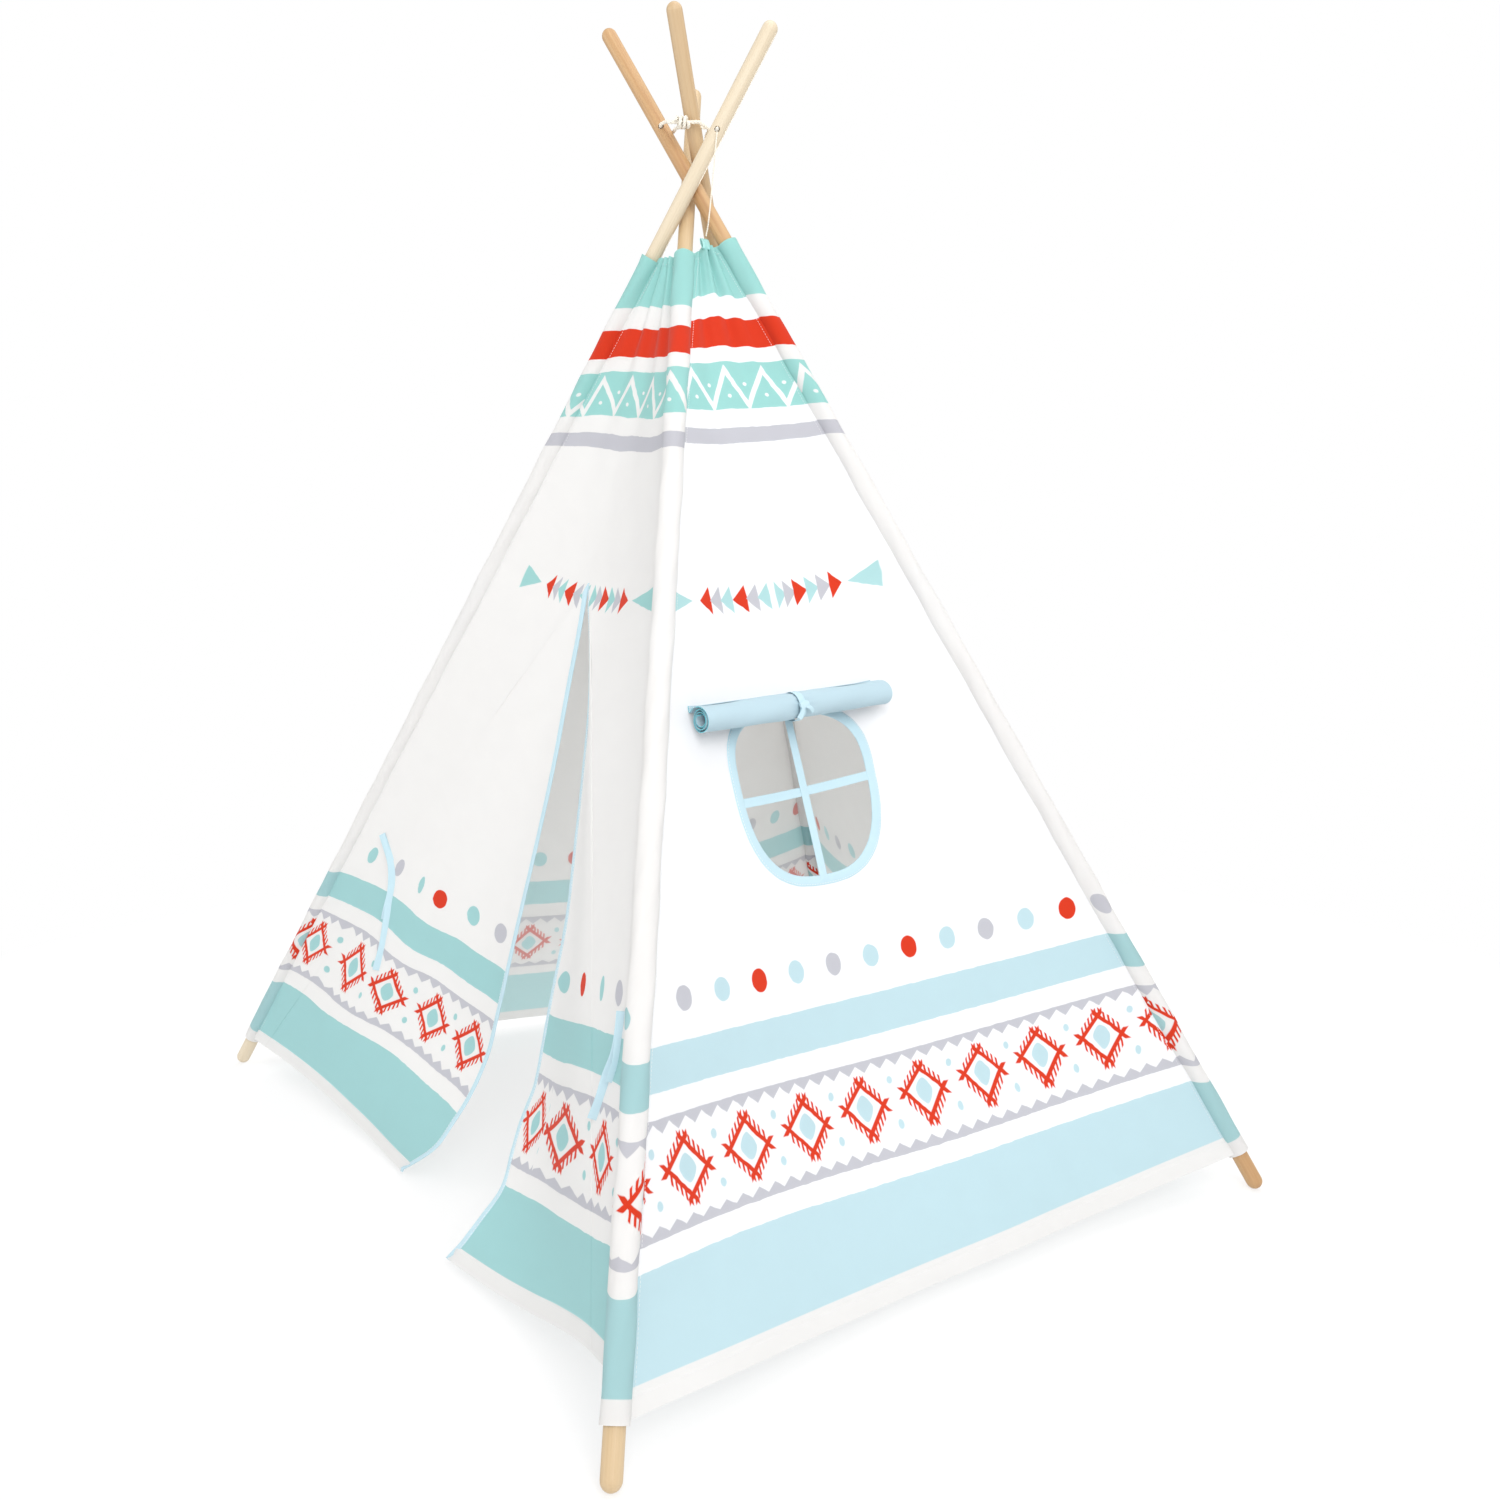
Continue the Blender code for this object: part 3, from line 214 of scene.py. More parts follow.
class Pole:
    """Axis of a pole: at(s) is s metres up it from the tip of its foot."""

    def __init__(self, name):
        self.name = name
        self.neck = (NECK + ACROSS * ACROSS_SHARES[name] * POLE_DIAMETER + ALONG * ALONG_SHARES[name] * POLE_DIAMETER)
        foot = np.array([*FOOT[name], POLE_RADIUS - FOOT_FLAT_DEPTH])
        self.up = unit(self.neck - foot)
        self.tip = foot - self.up * POLE_RADIUS
        self.hinge = unit(np.array([self.up[1], -self.up[0], 0.0]))
        self.side = unit(np.cross(self.up, self.hinge))

    def at(self, s):
        return self.tip + np.multiply.outer(s, self.up)


POLE = {name: Pole(name) for name in POLES}


class Face:
    """One side of the canopy: s is the height up both poles, t the share across from the first to the second."""

    def __init__(self, first, second, seed):
        self.first, self.second, self.seed = POLE[first], POLE[second], seed
        across = self.second.tip - self.first.tip
        normal = unit(np.cross(self.first.up + self.second.up, across))
        middle = (self.first.tip + self.second.tip) / 2 - NECK
        middle[2] = 0.0
        self.out = normal if normal @ middle > 0 else -normal
        self.across = unit(across)
        self.seat = SLEEVE_OUTER + 0.0003 + 4 * SAG_SHARE * CLOTH / 2

    def chord(self, s):
        return self.second.at(s) - self.first.at(s)

    def width(self, s):
        return np.linalg.norm(self.chord(s), axis=-1)

    def rims(self, s, seat=None):
        """Shares across at which the cloth meets the first and the second sleeve."""
        seat = self.seat if seat is None else seat
        chord = self.chord(s)
        first = seat / np.linalg.norm(np.cross(chord, self.first.up), axis=-1)
        second = seat / np.linalg.norm(np.cross(chord, self.second.up), axis=-1)
        return first, 1 - second

    def sag(self, s, t):
        """Hollow of the side: k(s) w(s) 4t(1 - t), with k from 0.055 at the hem to 0.1 higher up."""
        deep = HEM_SAG_SHARE + (SAG_SHARE - HEM_SAG_SHARE) * smooth((s - CANOPY_HEM) / HEM_RISE)
        return deep * self.width(s) * 4 * t * (1 - t)

    def folds(self, s, t):
        """Three gathers below the top and two broad drapes lower down, both faded to nothing at the poles."""
        low_rim, high_rim = self.rims(s)
        v = np.clip((t - low_rim) / (high_rim - low_rim), 0.0, 1.0)
        top = FOLD_DEPTH * np.sin(6 * math.pi * v) * smooth((s - FOLD_START) / (CANOPY_TOP - FOLD_START))
        low = DRAPE_DEPTH * np.sin(4 * math.pi * v) * smooth(1 - s / SLIT_TOP)
        return (top + low) * np.sin(math.pi * v)

    def fine(self, s, t):
        """Small creases on top of the CAD's folds: soft pleats that fan down from the top edge, and slow ripples.

        Pleats are sines of v, the share across the open cloth, 5 and 9 of them, of 1.1 and 0.4 mm, faded out below
        the top. Ripples are sums of three sines of s and v under 1 mm.
        """
        low_rim, high_rim = self.rims(s)
        v = np.clip((t - low_rim) / (high_rim - low_rim), 0.0, 1.0)
        k = self.seed
        high = smooth((s - 1.12) / 0.40)
        pleat = 0.0011 * np.sin(2 * math.pi * (5 * v + 0.31 * k) + 3.0 * (s - 1.2)) * high**1.5
        pleat = pleat + 0.0004 * np.sin(2 * math.pi * (9 * v + 0.17 * k)) * high**3
        slow = 0.0010 * np.sin(2 * math.pi * (1.5 * v + 0.7 * s + 0.23 * k)) + 0.0005 * np.sin(
            2 * math.pi * (3.2 * v - 1.9 * s + 0.41 * k)) + 0.0002 * np.sin(2 * math.pi * (6.1 * v + 3.7 * s + 0.6 * k))
        hem = 0.0012 * np.sin(2 * math.pi * (4.3 * v + 0.37 * k)) * smooth((0.16 - s) / 0.12)
        return (pleat + slow + hem) * np.sin(math.pi * v)**0.6

    def point(self, s, t, out=0.0, ease=1.0, fine=1.0, folds=1.0):
        """A(s)(1 - t) + B(s)t + n(offset + out - sag + folds + fine)."""
        s, t = np.broadcast_arrays(np.asarray(s, float), np.asarray(t, float))
        rise = SURFACE_OFFSET + out - self.sag(s, t) * ease + self.folds(s, t) * folds + self.fine(s, t) * fine
        return self.first.at(s) * (1 - t[..., None]) + self.second.at(s) * t[..., None] + rise[..., None] * self.out

    def hem(self, t):
        return CANOPY_HEM - HEM_DROP * 4 * t * (1 - t)

    def inward(self, pole):
        """Direction in the side's plane, square to a pole."""
        return unit(self.across - pole.up * (self.across @ pole.up))


DOOR = Face("left", "front", 1)
WINDOW = Face("front", "right", 2)
REAR = Face("right", "back", 3)
SIDE = Face("back", "left", 4)


class FoldLine:
    """Straight line that a door half turns on, from the top of the slit to the hem beside a pole."""

    def __init__(self, from_second):
        self.from_second = from_second
        top_share = 1 - SLIT_SHARE if from_second else SLIT_SHARE
        self.top = top_share * DOOR.width(SLIT_TOP)
        foot_share = HINGE_FROM_POLE / DOOR.width(HINGE_FOOT)
        self.sag_top = DOOR.sag(SLIT_TOP, top_share)
        self.sag_foot = DOOR.sag(HINGE_FOOT, foot_share)

    def run(self, s):
        return (s - HINGE_FOOT) / (SLIT_TOP - HINGE_FOOT)

    def share(self, s):
        t = (HINGE_FROM_POLE + (self.top - HINGE_FROM_POLE) * self.run(s)) / DOOR.width(s)
        return 1 - t if self.from_second else t

    def ease(self, s):
        return (self.sag_foot + (self.sag_top - self.sag_foot) * self.run(s)) / DOOR.sag(s, self.share(s))


LEFT_LINE = FoldLine(False)
RIGHT_LINE = FoldLine(True)


# Meshes

def grid_faces(rows, columns, wrap=False, start=0):
    """Quads of a grid of points, closed across its columns when wrapped."""
    last = columns if wrap else columns - 1
    i, j = np.meshgrid(np.arange(rows - 1), np.arange(last), indexing="ij")
    k = (j + 1) % columns
    quad = np.stack([i * columns + j, i * columns + k, (i + 1) * columns + k, (i + 1) * columns + j], axis=-1)
    return quad.reshape(-1, 4) + start


def grid_normals(points, toward=None, wrap=False):
    """Unit normals of a grid of points from its central differences, turned towards a direction."""
    down = np.gradient(points, axis=0)
    if wrap:
        right = np.roll(points, -1, axis=1) - np.roll(points, 1, axis=1)
    else:
        right = np.gradient(points, axis=1)
    normal = units(np.cross(right, down))
    if toward is not None and np.sum(normal * toward) < 0:
        normal = -normal
    return normal


def build(name, verts, faces, materials, uv=None, index=None, sharp=45):
    """Mesh object in world coordinates at the origin; uv holds u, row height and height over the lower edge."""
    verts = np.ascontiguousarray(verts, np.float32).reshape(-1, 3)
    faces = np.ascontiguousarray(faces, np.int32)
    mesh = bpy.data.meshes.new(name)
    mesh.vertices.add(len(verts))
    mesh.vertices.foreach_set("co", verts.ravel())
    mesh.loops.add(faces.size)
    mesh.loops.foreach_set("vertex_index", faces.ravel())
    mesh.polygons.add(len(faces))
    mesh.polygons.foreach_set("loop_start", np.arange(len(faces), dtype=np.int32) * faces.shape[1])
    if index is not None:
        mesh.polygons.foreach_set("material_index", np.ascontiguousarray(index, np.int32))
    for material in materials:
        mesh.materials.append(material)
    mesh.update(calc_edges=True)
    if uv is not None:
        loops = np.asarray(uv, np.float32).reshape(len(verts), -1)[faces.ravel()]
        for label, columns in (("print", (0, 1)), ("edge", (-1, -1))):
            layer = mesh.uv_layers.new(name=label)
            layer.data.foreach_set("uv", np.ascontiguousarray(loops[:, columns]).ravel())
    mesh.validate()
    mesh.shade_smooth()
    mesh.set_sharp_from_angle(angle=math.radians(sharp))
    piece = bpy.data.objects.new(name, mesh)
    bpy.context.scene.collection.objects.link(piece)
    return piece


def boundary(faces):
    """Edges of a face array that only one face uses, in the direction that face runs."""
    a, b = faces.ravel(), np.roll(faces, -1, axis=1).ravel()
    key = np.minimum(a, b).astype(np.int64) * (faces.max() + 1) + np.maximum(a, b)
    _, first, count = np.unique(key, return_index=True, return_counts=True)
    single = first[count == 1]
    return np.stack([a[single], b[single]], axis=1)


def shell(name, middle, faces, normals, thickness, materials, uv=None):
    """Cloth of a thickness about a middle surface: outer and inner face, and a rim round every open edge.

    Outer points are P + n h/2 and inner ones P - n h/2. Outer faces take the first material, inner ones the last.
    """
    middle = middle.reshape(-1, 3)
    normals = normals.reshape(-1, 3)
    a, b, c = (middle[faces[:, k]] for k in (0, 1, 2))
    facing = np.sum(np.cross(b - a, c - a) * normals[faces[:, 0]])
    if facing < 0:
        faces = faces[:, ::-1]
    n = len(middle)
    thick = np.reshape(thickness, (-1, 1)) if np.ndim(thickness) else thickness
    verts = np.vstack([middle + normals * thick / 2, middle - normals * thick / 2])
    edge = boundary(faces)
    rim = np.stack([edge[:, 1], edge[:, 0], edge[:, 0] + n, edge[:, 1] + n], axis=1)
    every = np.vstack([faces, faces[:, ::-1] + n, rim])
    index = np.concatenate([np.zeros(len(faces)), np.full(len(faces), min(1, len(materials) - 1)),
                            np.full(len(rim), 2 if len(materials) > 2 else 0)])
    uvs = None if uv is None else np.vstack([uv.reshape(n, -1)] * 2)
    used = np.zeros(2 * n, bool)
    used[every.ravel()] = True
    place = np.cumsum(used) - 1
    return build(name, verts[used], place[every], materials, None if uvs is None else uvs[used], index)


def tape(name, centre, across, normal, thickness, material, closed=False):
    """Flat tape with rounded edges: a superellipse |x|^4 + |z|^2 = 1 swept along its centre line.

    across holds the half width as a vector and normal the outward unit vector at each point.
    """
    turn = np.linspace(0, 2 * math.pi, 16, endpoint=False)
    x = np.sign(np.cos(turn)) * np.abs(np.cos(turn))**0.5
    z = np.sin(turn)
    thick = np.reshape(thickness, (-1, 1, 1)) if np.ndim(thickness) else thickness
    points = (centre[:, None] + across[:, None] * x[None, :, None]
              + normal[:, None] * (z[None, :, None] * thick / 2))
    rows = len(centre)
    if closed:
        faces = grid_faces(rows + 1, 16, True) % (rows * 16)
    else:
        faces = grid_faces(rows, 16, True)
        caps = []
        for start in (0, (rows - 1) * 16):
            for k in range(1, 8):
                quad = [start + k - 1, start + k, start + 15 - k, start + (16 - k) % 16]
                caps.append(quad if start else quad[::-1])
        faces = np.vstack([faces, np.array(caps)])
    sweep = centre[1] - centre[0]
    if np.cross(across[0], normal[0]) @ sweep < 0:
        faces = faces[:, ::-1]
    return build(name, points, faces[:, ::-1], [material], sharp=60)


def transport(path):
    """Tangent, side and top of an even frame carried along a path without twist."""
    tangent = units(np.gradient(path, axis=0))
    side = np.empty_like(path)
    start = np.cross(tangent[0], [0.0, 0.0, 1.0])
    if np.linalg.norm(start) < 0.1:
        start = np.cross(tangent[0], [1.0, 0.0, 0.0])
    side[0] = unit(start)
    for i in range(1, len(path)):
        flat = side[i - 1] - tangent[i] * (side[i - 1] @ tangent[i])
        side[i] = unit(flat)
    return tangent, side, np.cross(tangent, side)


def spline_points(route, step):
    """Even points on a smooth curve through the route's own points."""
    route = np.array(route)
    padded = np.vstack([2 * route[0] - route[1], route, 2 * route[-1] - route[-2]])
    fine = []
    for a, b, c, d in zip(padded, padded[1:], padded[2:], padded[3:]):
        r = np.linspace(0, 1, 24, endpoint=False)[:, None]
        fine.append(0.5 * (2 * b + (c - a) * r + (2 * a - 5 * b + 4 * c - d) * r**2 + (3 * b - a - 3 * c + d) * r**3))
    fine = np.vstack(fine + [route[-1:]])
    return even_points(fine, step)


def distance_along(line):
    """Distance of each point of a polyline from its first one."""
    return np.concatenate([[0], np.cumsum(np.linalg.norm(np.diff(line, axis=0), axis=1))])


def even_points(line, step):
    """Points on a polyline at an even distance."""
    run = distance_along(line)
    count = max(2, round(run[-1] / step))
    even = np.linspace(0, run[-1], count + 1)
    return np.stack([np.interp(even, run, line[:, k]) for k in range(3)], axis=1)


def laid_rope(name, path, radius, material, strands=3, pitch=0.016, sides=8):
    """Laid rope: strands of radius 0.52 R wound at 0.48 R round the path, one turn in each pitch, rounded ends."""
    _, side, top = transport(path)
    run = distance_along(path)
    verts, faces = [], []
    ends = np.minimum(1, np.sqrt(np.clip(np.minimum(run, run[-1] - run) / radius, 0.02, 1)))
    for k in range(strands):
        turn = 2 * math.pi * (run / pitch + k / strands)
        heart = path + 0.48 * radius * ends[:, None] * (np.cos(turn)[:, None] * side + np.sin(turn)[:, None] * top)
        _, a, b = transport(heart)
        angle = np.arange(sides) * 2 * math.pi / sides
        ring = np.cos(angle)[None, :, None] * a[:, None] + np.sin(angle)[None, :, None] * b[:, None]
        tube = heart[:, None] + 0.52 * radius * ends[:, None, None] * ring
        start = sum(len(v) for v in verts)
        verts.append(tube.reshape(-1, 3))
        faces.append(grid_faces(len(path), sides, True, start))
        for row in (0, len(path) - 1):
            first = start + row * sides
            cap = [[first, first + j, first + j + 1, first + j + 2] for j in range(1, sides - 2, 2)]
            faces.append(np.array(cap if row else [quad[::-1] for quad in cap]))
    every = np.vstack(faces)
    return build(name, np.vstack(verts), every, [material], sharp=80)


STITCHES = {}


def stitch(body, key, line, normal, lift=0.0004, length=0.0026, gap=0.0016, radius=0.00022):
    """Row of sewn stitches along a line: short five-sided threads bowed over the cloth, kept for one body."""
    line = np.asarray(line)
    steps = even_points(line, (length + gap) / 2)
    where = np.linspace(0, 1, len(line))
    run = distance_along(line)
    even = np.linspace(0, run[-1], len(steps))
    place = np.interp(even, run, where)
    normals = units(np.stack([np.interp(place, where, np.asarray(normal)[:, k]) for k in range(3)], axis=1))
    a, b = steps[:-1:2], steps[1::2]
    n = normals[:-1:2][:len(b)]
    a = a[:len(b)]
    along = units(b - a)
    middle = (a + b) / 2
    side = units(np.cross(n, along))
    angle = np.arange(5) * 2 * math.pi / 5
    rings = []
    for place, rise in ((-0.5, -0.6), (-0.32, 0.5), (0.32, 0.5), (0.5, -0.6)):
        heart = middle + along * place * length + n * (lift + rise * radius)
        rings.append(heart[:, None] + radius * (np.cos(angle)[None, :, None] * side[:, None]
                                                + np.sin(angle)[None, :, None] * n[:, None]))
    verts = np.stack(rings, axis=1)
    one = grid_faces(4, 5, True)
    faces = (one[None] + np.arange(len(middle))[:, None, None] * 20).reshape(-1, 4)
    STITCHES.setdefault((body, key), []).append((verts.reshape(-1, 3), faces))


# Shaders

def linear(red, green, blue):
    """Scene colour of an sRGB colour of 0 to 255."""
    out = []
    for value in (red, green, blue):
        c = value / 255
        out.append(c / 12.92 if c <= 0.04045 else ((c + 0.055) / 1.055)**2.4)
    return (*out, 1.0)


MINT = linear(176, 228, 226)
RED = linear(226, 66, 38)
GREY = linear(206, 206, 213)
WHITE = linear(245, 244, 243)
HEM = linear(240, 239, 238)
BLUE = linear(196, 223, 233)
# Teal of the painted shade on the rims of the rolled blind and its header
EDGE_SHADE_TEAL = linear(112, 196, 208)


class Value:
    """Number in a shader: arithmetic on it adds Math nodes."""

    def __init__(self, tree, socket):
        self.tree, self.socket = tree, socket

    def op(self, name, *others, clamp=False):
        node = self.tree.nodes.new("ShaderNodeMath")
        node.operation = name
        node.use_clamp = clamp
        for i, item in enumerate((self, *others)):
            if isinstance(item, Value):
                self.tree.links.new(item.socket, node.inputs[i])
            else:
                node.inputs[i].default_value = float(item)
        return Value(self.tree, node.outputs[0])

    def __add__(self, other):
        return self.op("ADD", other)

    def __sub__(self, other):
        return self.op("SUBTRACT", other)

    def __rsub__(self, other):
        return (self * -1.0).op("ADD", other)

    def __mul__(self, other):
        return self.op("MULTIPLY", other)

    def __truediv__(self, other):
        return self.op("DIVIDE", other)

    def abs(self):
        return self.op("ABSOLUTE")

    def frac(self):
        return self.op("FRACT")

    def low(self, other):
        return self.op("MINIMUM", other)

    def high(self, other):
        return self.op("MAXIMUM", other)

    def power(self, other):
        return self.op("POWER", other)

    def wave(self):
        """Distance to the nearest whole number, 0 to 0.5."""
        return (self.op("ADD", 0.5).frac() - 0.5).abs()

    def below(self, edge, soft=0.0006):
        """1 where the number is under an edge, with a soft step."""
        return (edge - self).op("DIVIDE", soft).op("ADD", 0.5, clamp=True)

    def between(self, low, high, soft=0.0006):
        return (self - low).low(high - self).op("DIVIDE", soft).op("ADD", 0.5, clamp=True)


def mix_colours(tree, mask, a, b):
    """Colour a where the mask is 0 and b where it is 1."""
    node = tree.nodes.new("ShaderNodeMix")
    node.data_type = "RGBA"
    tree.links.new(mask.socket, node.inputs[0])
    for slot, item in ((6, a), (7, b)):
        if isinstance(item, tuple):
            node.inputs[slot].default_value = item
        else:
            tree.links.new(item, node.inputs[slot])
    return node.outputs[2]


def mix_shaders(tree, share, first, second, target):
    """First shader where the share is 0 and second where it is 1; share is a number or a socket."""
    node = tree.nodes.new("ShaderNodeMixShader")
    if isinstance(share, float):
        node.inputs[0].default_value = share
    else:
        tree.links.new(share, node.inputs[0])
    tree.links.new(first, node.inputs[1])
    tree.links.new(second, node.inputs[2])
    tree.links.new(node.outputs[0], target)


def add_bump(tree, height, shader, strength, distance):
    """Bump of a height socket on a shader's normal."""
    node = tree.nodes.new("ShaderNodeBump")
    node.inputs["Strength"].default_value = strength
    node.inputs["Distance"].default_value = distance
    tree.links.new(height, node.inputs["Height"])
    tree.links.new(node.outputs[0], shader.inputs["Normal"])


def add_noise(tree, vector, scale, detail, roughness=0.5):
    node = tree.nodes.new("ShaderNodeTexNoise")
    for label, value in (("Scale", scale), ("Detail", detail), ("Roughness", roughness)):
        node.inputs[label].default_value = value
    tree.links.new(vector, node.inputs["Vector"])
    return node.outputs[0]


def group_with(name, inputs, outputs):
    """Empty node group with float or vector inputs and its outputs."""
    tree = bpy.data.node_groups.new(name, "ShaderNodeTree")
    for label, kind, value in inputs:
        socket = tree.interface.new_socket(label, in_out="INPUT", socket_type=kind)
        if value is not None:
            socket.default_value = value
    for label, kind in outputs:
        tree.interface.new_socket(label, in_out="OUTPUT", socket_type=kind)
    return tree, tree.nodes.new("NodeGroupInput"), tree.nodes.new("NodeGroupOutput")


# Left end, right end, colour and way of the arrowheads in the row over the window, in metres from the middle
ARROWS = ((-0.206, -0.163, "mint", 1), (-0.148, -0.129, "red", -1), (-0.129, -0.110, "grey", -1),
          (-0.110, -0.090, "mint", -1), (-0.088, -0.064, "red", -1), (-0.064, -0.044, "grey", -1),
          (-0.044, -0.024, "mint", -1), (-0.012, 0.003, "mint", 1), (0.002, 0.019, "grey", 1),
          (0.018, 0.038, "red", 1), (0.038, 0.056, "mint", 1), (0.056, 0.075, "grey", 1),
          (0.075, 0.093, "red", 1), (0.104, 0.153, "mint", -1))


def print_group():
    """The cloth's print as a colour of u, metres from the side's middle, and s, the row's height.

    Bands are steps of s. The zigzag is a triangle wave of u, the teeth are the wave |u/p - whole|, and a diamond is
    |x| + |y| < 1 in its own sheared axes, with crossed corners and short upright strokes outside its edge. The hem
    is a step of the height over the cloth's lower edge.
    """
    tree, start, end = group_with(
        "cloth print",
        [("UV", "NodeSocketVector", None), ("Edge", "NodeSocketVector", None), ("Mint", "NodeSocketColor", MINT),
         ("White", "NodeSocketColor", WHITE), ("Lean", "NodeSocketFloat", 0.1), ("Hem", "NodeSocketFloat", 0.021)],
        [("Colour", "NodeSocketColor")])
    split = tree.nodes.new("ShaderNodeSeparateXYZ")
    shaken = Value(tree, add_noise(tree, start.outputs["UV"], 70.0, 1.0)) * 0.0024 - 0.0012
    tree.links.new(start.outputs["UV"], split.inputs[0])
    u = Value(tree, split.outputs[0]) + shaken
    s = Value(tree, split.outputs[1]) + shaken
    white = start.outputs["White"]
    # Painted shade: from 0.75 m up to 1.2 m every side's mint turns to one deeper mint, which also takes the window
    # side's painted highlight off the top of the cloth.
    height = (s - 0.75).op("DIVIDE", 0.45, clamp=True)
    mint = mix_colours(tree, height, start.outputs["Mint"], linear(168, 221, 217))

    colour = mix_colours(tree, s.between(1.4370, 2.0), white, mint)
    colour = mix_colours(tree, s.between(1.3530, 1.4000), colour, RED)
    colour = mix_colours(tree, s.between(1.2545, 1.3285), colour, mint)
    tri = ((u + 0.0155) / 0.058).wave()
    line = (s - 1.3155 + tri * 0.113).abs()
    colour = mix_colours(tree, line.below(0.0080, 0.0014), colour, white)
    for du, ds in ((0.0155 + 0.029, 1.2935), (0.0155, 1.2745)):
        x = ((u + du) / 0.058).wave() * 0.058
        dot = (x * x + (s - ds) * (s - ds)).power(0.5)
        colour = mix_colours(tree, dot.below(0.0031, 0.0010), colour, white)
    colour = mix_colours(tree, s.between(1.2020, 1.2258), colour, GREY)

    tone = {"mint": mint, "red": RED, "grey": GREY}
    for low, high, name, way in ARROWS:
        base, tip = (low, high) if way > 0 else (high, low)
        x = (u - base) / (tip - base)
        y = (s - 0.9735).abs() / 0.0195
        inside = (1.03 - (x + y)).low(x + 0.06 - y * 0.05)
        colour = mix_colours(tree, (inside / 0.05).op("ADD", 0.5, clamp=True), colour, tone[name])

    place = (u + 0.3038) / 0.0624
    x = place.wave() * 0.0624
    rise = s - 0.453
    oval = (x * x / 0.000150 + rise * rise / 0.000225).power(0.5)
    quarter = ((place + 0.5).op("FLOOR") / 4.0 + 0.001).frac()
    tint = mix_colours(tree, quarter.between(0.20, 0.30, 0.01), GREY, mint)
    tint = mix_colours(tree, quarter.between(0.45, 0.55, 0.01), tint, RED)
    tint = mix_colours(tree, quarter.between(0.70, 0.80, 0.01), tint, mint)
    colour = mix_colours(tree, oval.below(1.0, 0.06), colour, tint)

    colour = mix_colours(tree, s.between(0.3550, 0.4050), colour, mint)
    teeth = (u / 0.0253 + 0.20).wave() * 2.0
    down = (s - 0.3225 + teeth * 0.0112) / 0.0012
    colour = mix_colours(tree, down.op("ADD", 0.5, clamp=True).op("MULTIPLY", s.between(0.30, 0.3270)), colour, GREY)
    teeth = (u / 0.0253 + 0.78).wave() * 2.0
    rising = s - 0.2110 + (teeth - 1.0) * 0.0085
    colour = mix_colours(tree, rising.below(0.0, 0.0012).op("MULTIPLY", s.between(0.2052, 0.3)), colour, GREY)

    pitch, centre = 0.0965, 0.2675
    cell = (u + 0.2475) / pitch
    x = ((cell + 0.5).frac() - 0.5) * pitch
    y = s - centre + x * Value(tree, start.outputs["Lean"])
    ax, ay = x.abs() / 0.0295, y.abs() / 0.0300
    ring = ax + ay
    bars = (ring - 1.0).abs().below(0.130, 0.05)
    corner = ((ax - ay).abs() - 1.0).abs().below(0.140, 0.05).op("MULTIPLY", ax.low(ay).below(0.26, 0.05))
    tassel = ((ax * 5.0).frac() - 0.5).abs().below(0.24, 0.10)
    strokes = tassel.op("MULTIPLY", ring.between(0.98, 1.46, 0.06)).op("MULTIPLY", ax.below(1.0, 0.05))
    colour = mix_colours(tree, bars.high(corner).high(strokes), colour, RED)
    heart = (x.abs() / 0.0125).power(1.5) + (y.abs() / 0.0165).power(1.5)
    colour = mix_colours(tree, heart.below(1.0, 0.10), colour, mint)
    between = (cell.frac() - 0.49) * pitch
    for drop in (0.026, -0.029):
        rise = s - centre - drop
        spot = (between * between + rise * rise * 0.6).power(0.5)
        colour = mix_colours(tree, spot.below(0.0042, 0.0010), colour, mint)

    colour = mix_colours(tree, s.below(0.1805), colour, mint)
    side = tree.nodes.new("ShaderNodeSeparateXYZ")
    tree.links.new(start.outputs["Edge"], side.inputs[0])
    over = Value(tree, start.outputs["Hem"]) - Value(tree, side.outputs[0])
    colour = mix_colours(tree, (over / 0.0010).op("ADD", 0.5, clamp=True), colour, HEM)
    tree.links.new(colour, end.inputs[0])
    return tree


def weave_group():
    """Plain weave as a height: two crossed fine waves of the cloth's own coordinates, broken by slow noise."""
    tree, start, end = group_with("weave", [("UV", "NodeSocketVector", None), ("Pitch", "NodeSocketFloat", 0.0009)],
                                  [("Height", "NodeSocketFloat"), ("Cloud", "NodeSocketFloat")])
    split = tree.nodes.new("ShaderNodeSeparateXYZ")
    tree.links.new(start.outputs["UV"], split.inputs[0])
    pitch = Value(tree, start.outputs["Pitch"])
    a = (Value(tree, split.outputs[0]) / pitch).wave()
    b = (Value(tree, split.outputs[1]) / pitch).wave()
    tree.links.new((a + b).socket, end.inputs[0])
    tree.links.new(add_noise(tree, start.outputs["UV"], 26.0, 4.0, 0.62), end.inputs[1])
    return tree


def wood_group():
    """Straight pale grain: stretched noise along the pole, thin darker streaks and a fine pore height."""
    tree, start, end = group_with(
        "wood", [("Place", "NodeSocketVector", None), ("Streak", "NodeSocketFloat", 0.5),
                 ("Pale", "NodeSocketColor", None), ("Dark", "NodeSocketColor", None)],
        [("Colour", "NodeSocketColor"), ("Height", "NodeSocketFloat")])
    outs = []
    for scale, stretch in ((60.0, 0.05), (240.0, 0.03), (9.0, 0.5)):
        mapping = tree.nodes.new("ShaderNodeVectorMath")
        mapping.operation = "MULTIPLY"
        mapping.inputs[1].default_value = (1.0, 1.0, stretch)
        tree.links.new(start.outputs["Place"], mapping.inputs[0])
        outs.append(Value(tree, add_noise(tree, mapping.outputs[0], scale, 3.0)))
    grain = outs[0] * 0.55 + outs[1] * 0.3 + outs[2] * 0.15
    mask = ((grain - 0.42) / 0.22).op("ADD", 0.0, clamp=True) * Value(tree, start.outputs["Streak"])
    colour = mix_colours(tree, mask, start.outputs["Pale"], start.outputs["Dark"])
    tree.links.new(colour, end.inputs[0])
    tree.links.new(outs[1].socket, end.inputs[1])
    return tree


PRINT = print_group()
WEAVE = weave_group()
WOOD = wood_group()


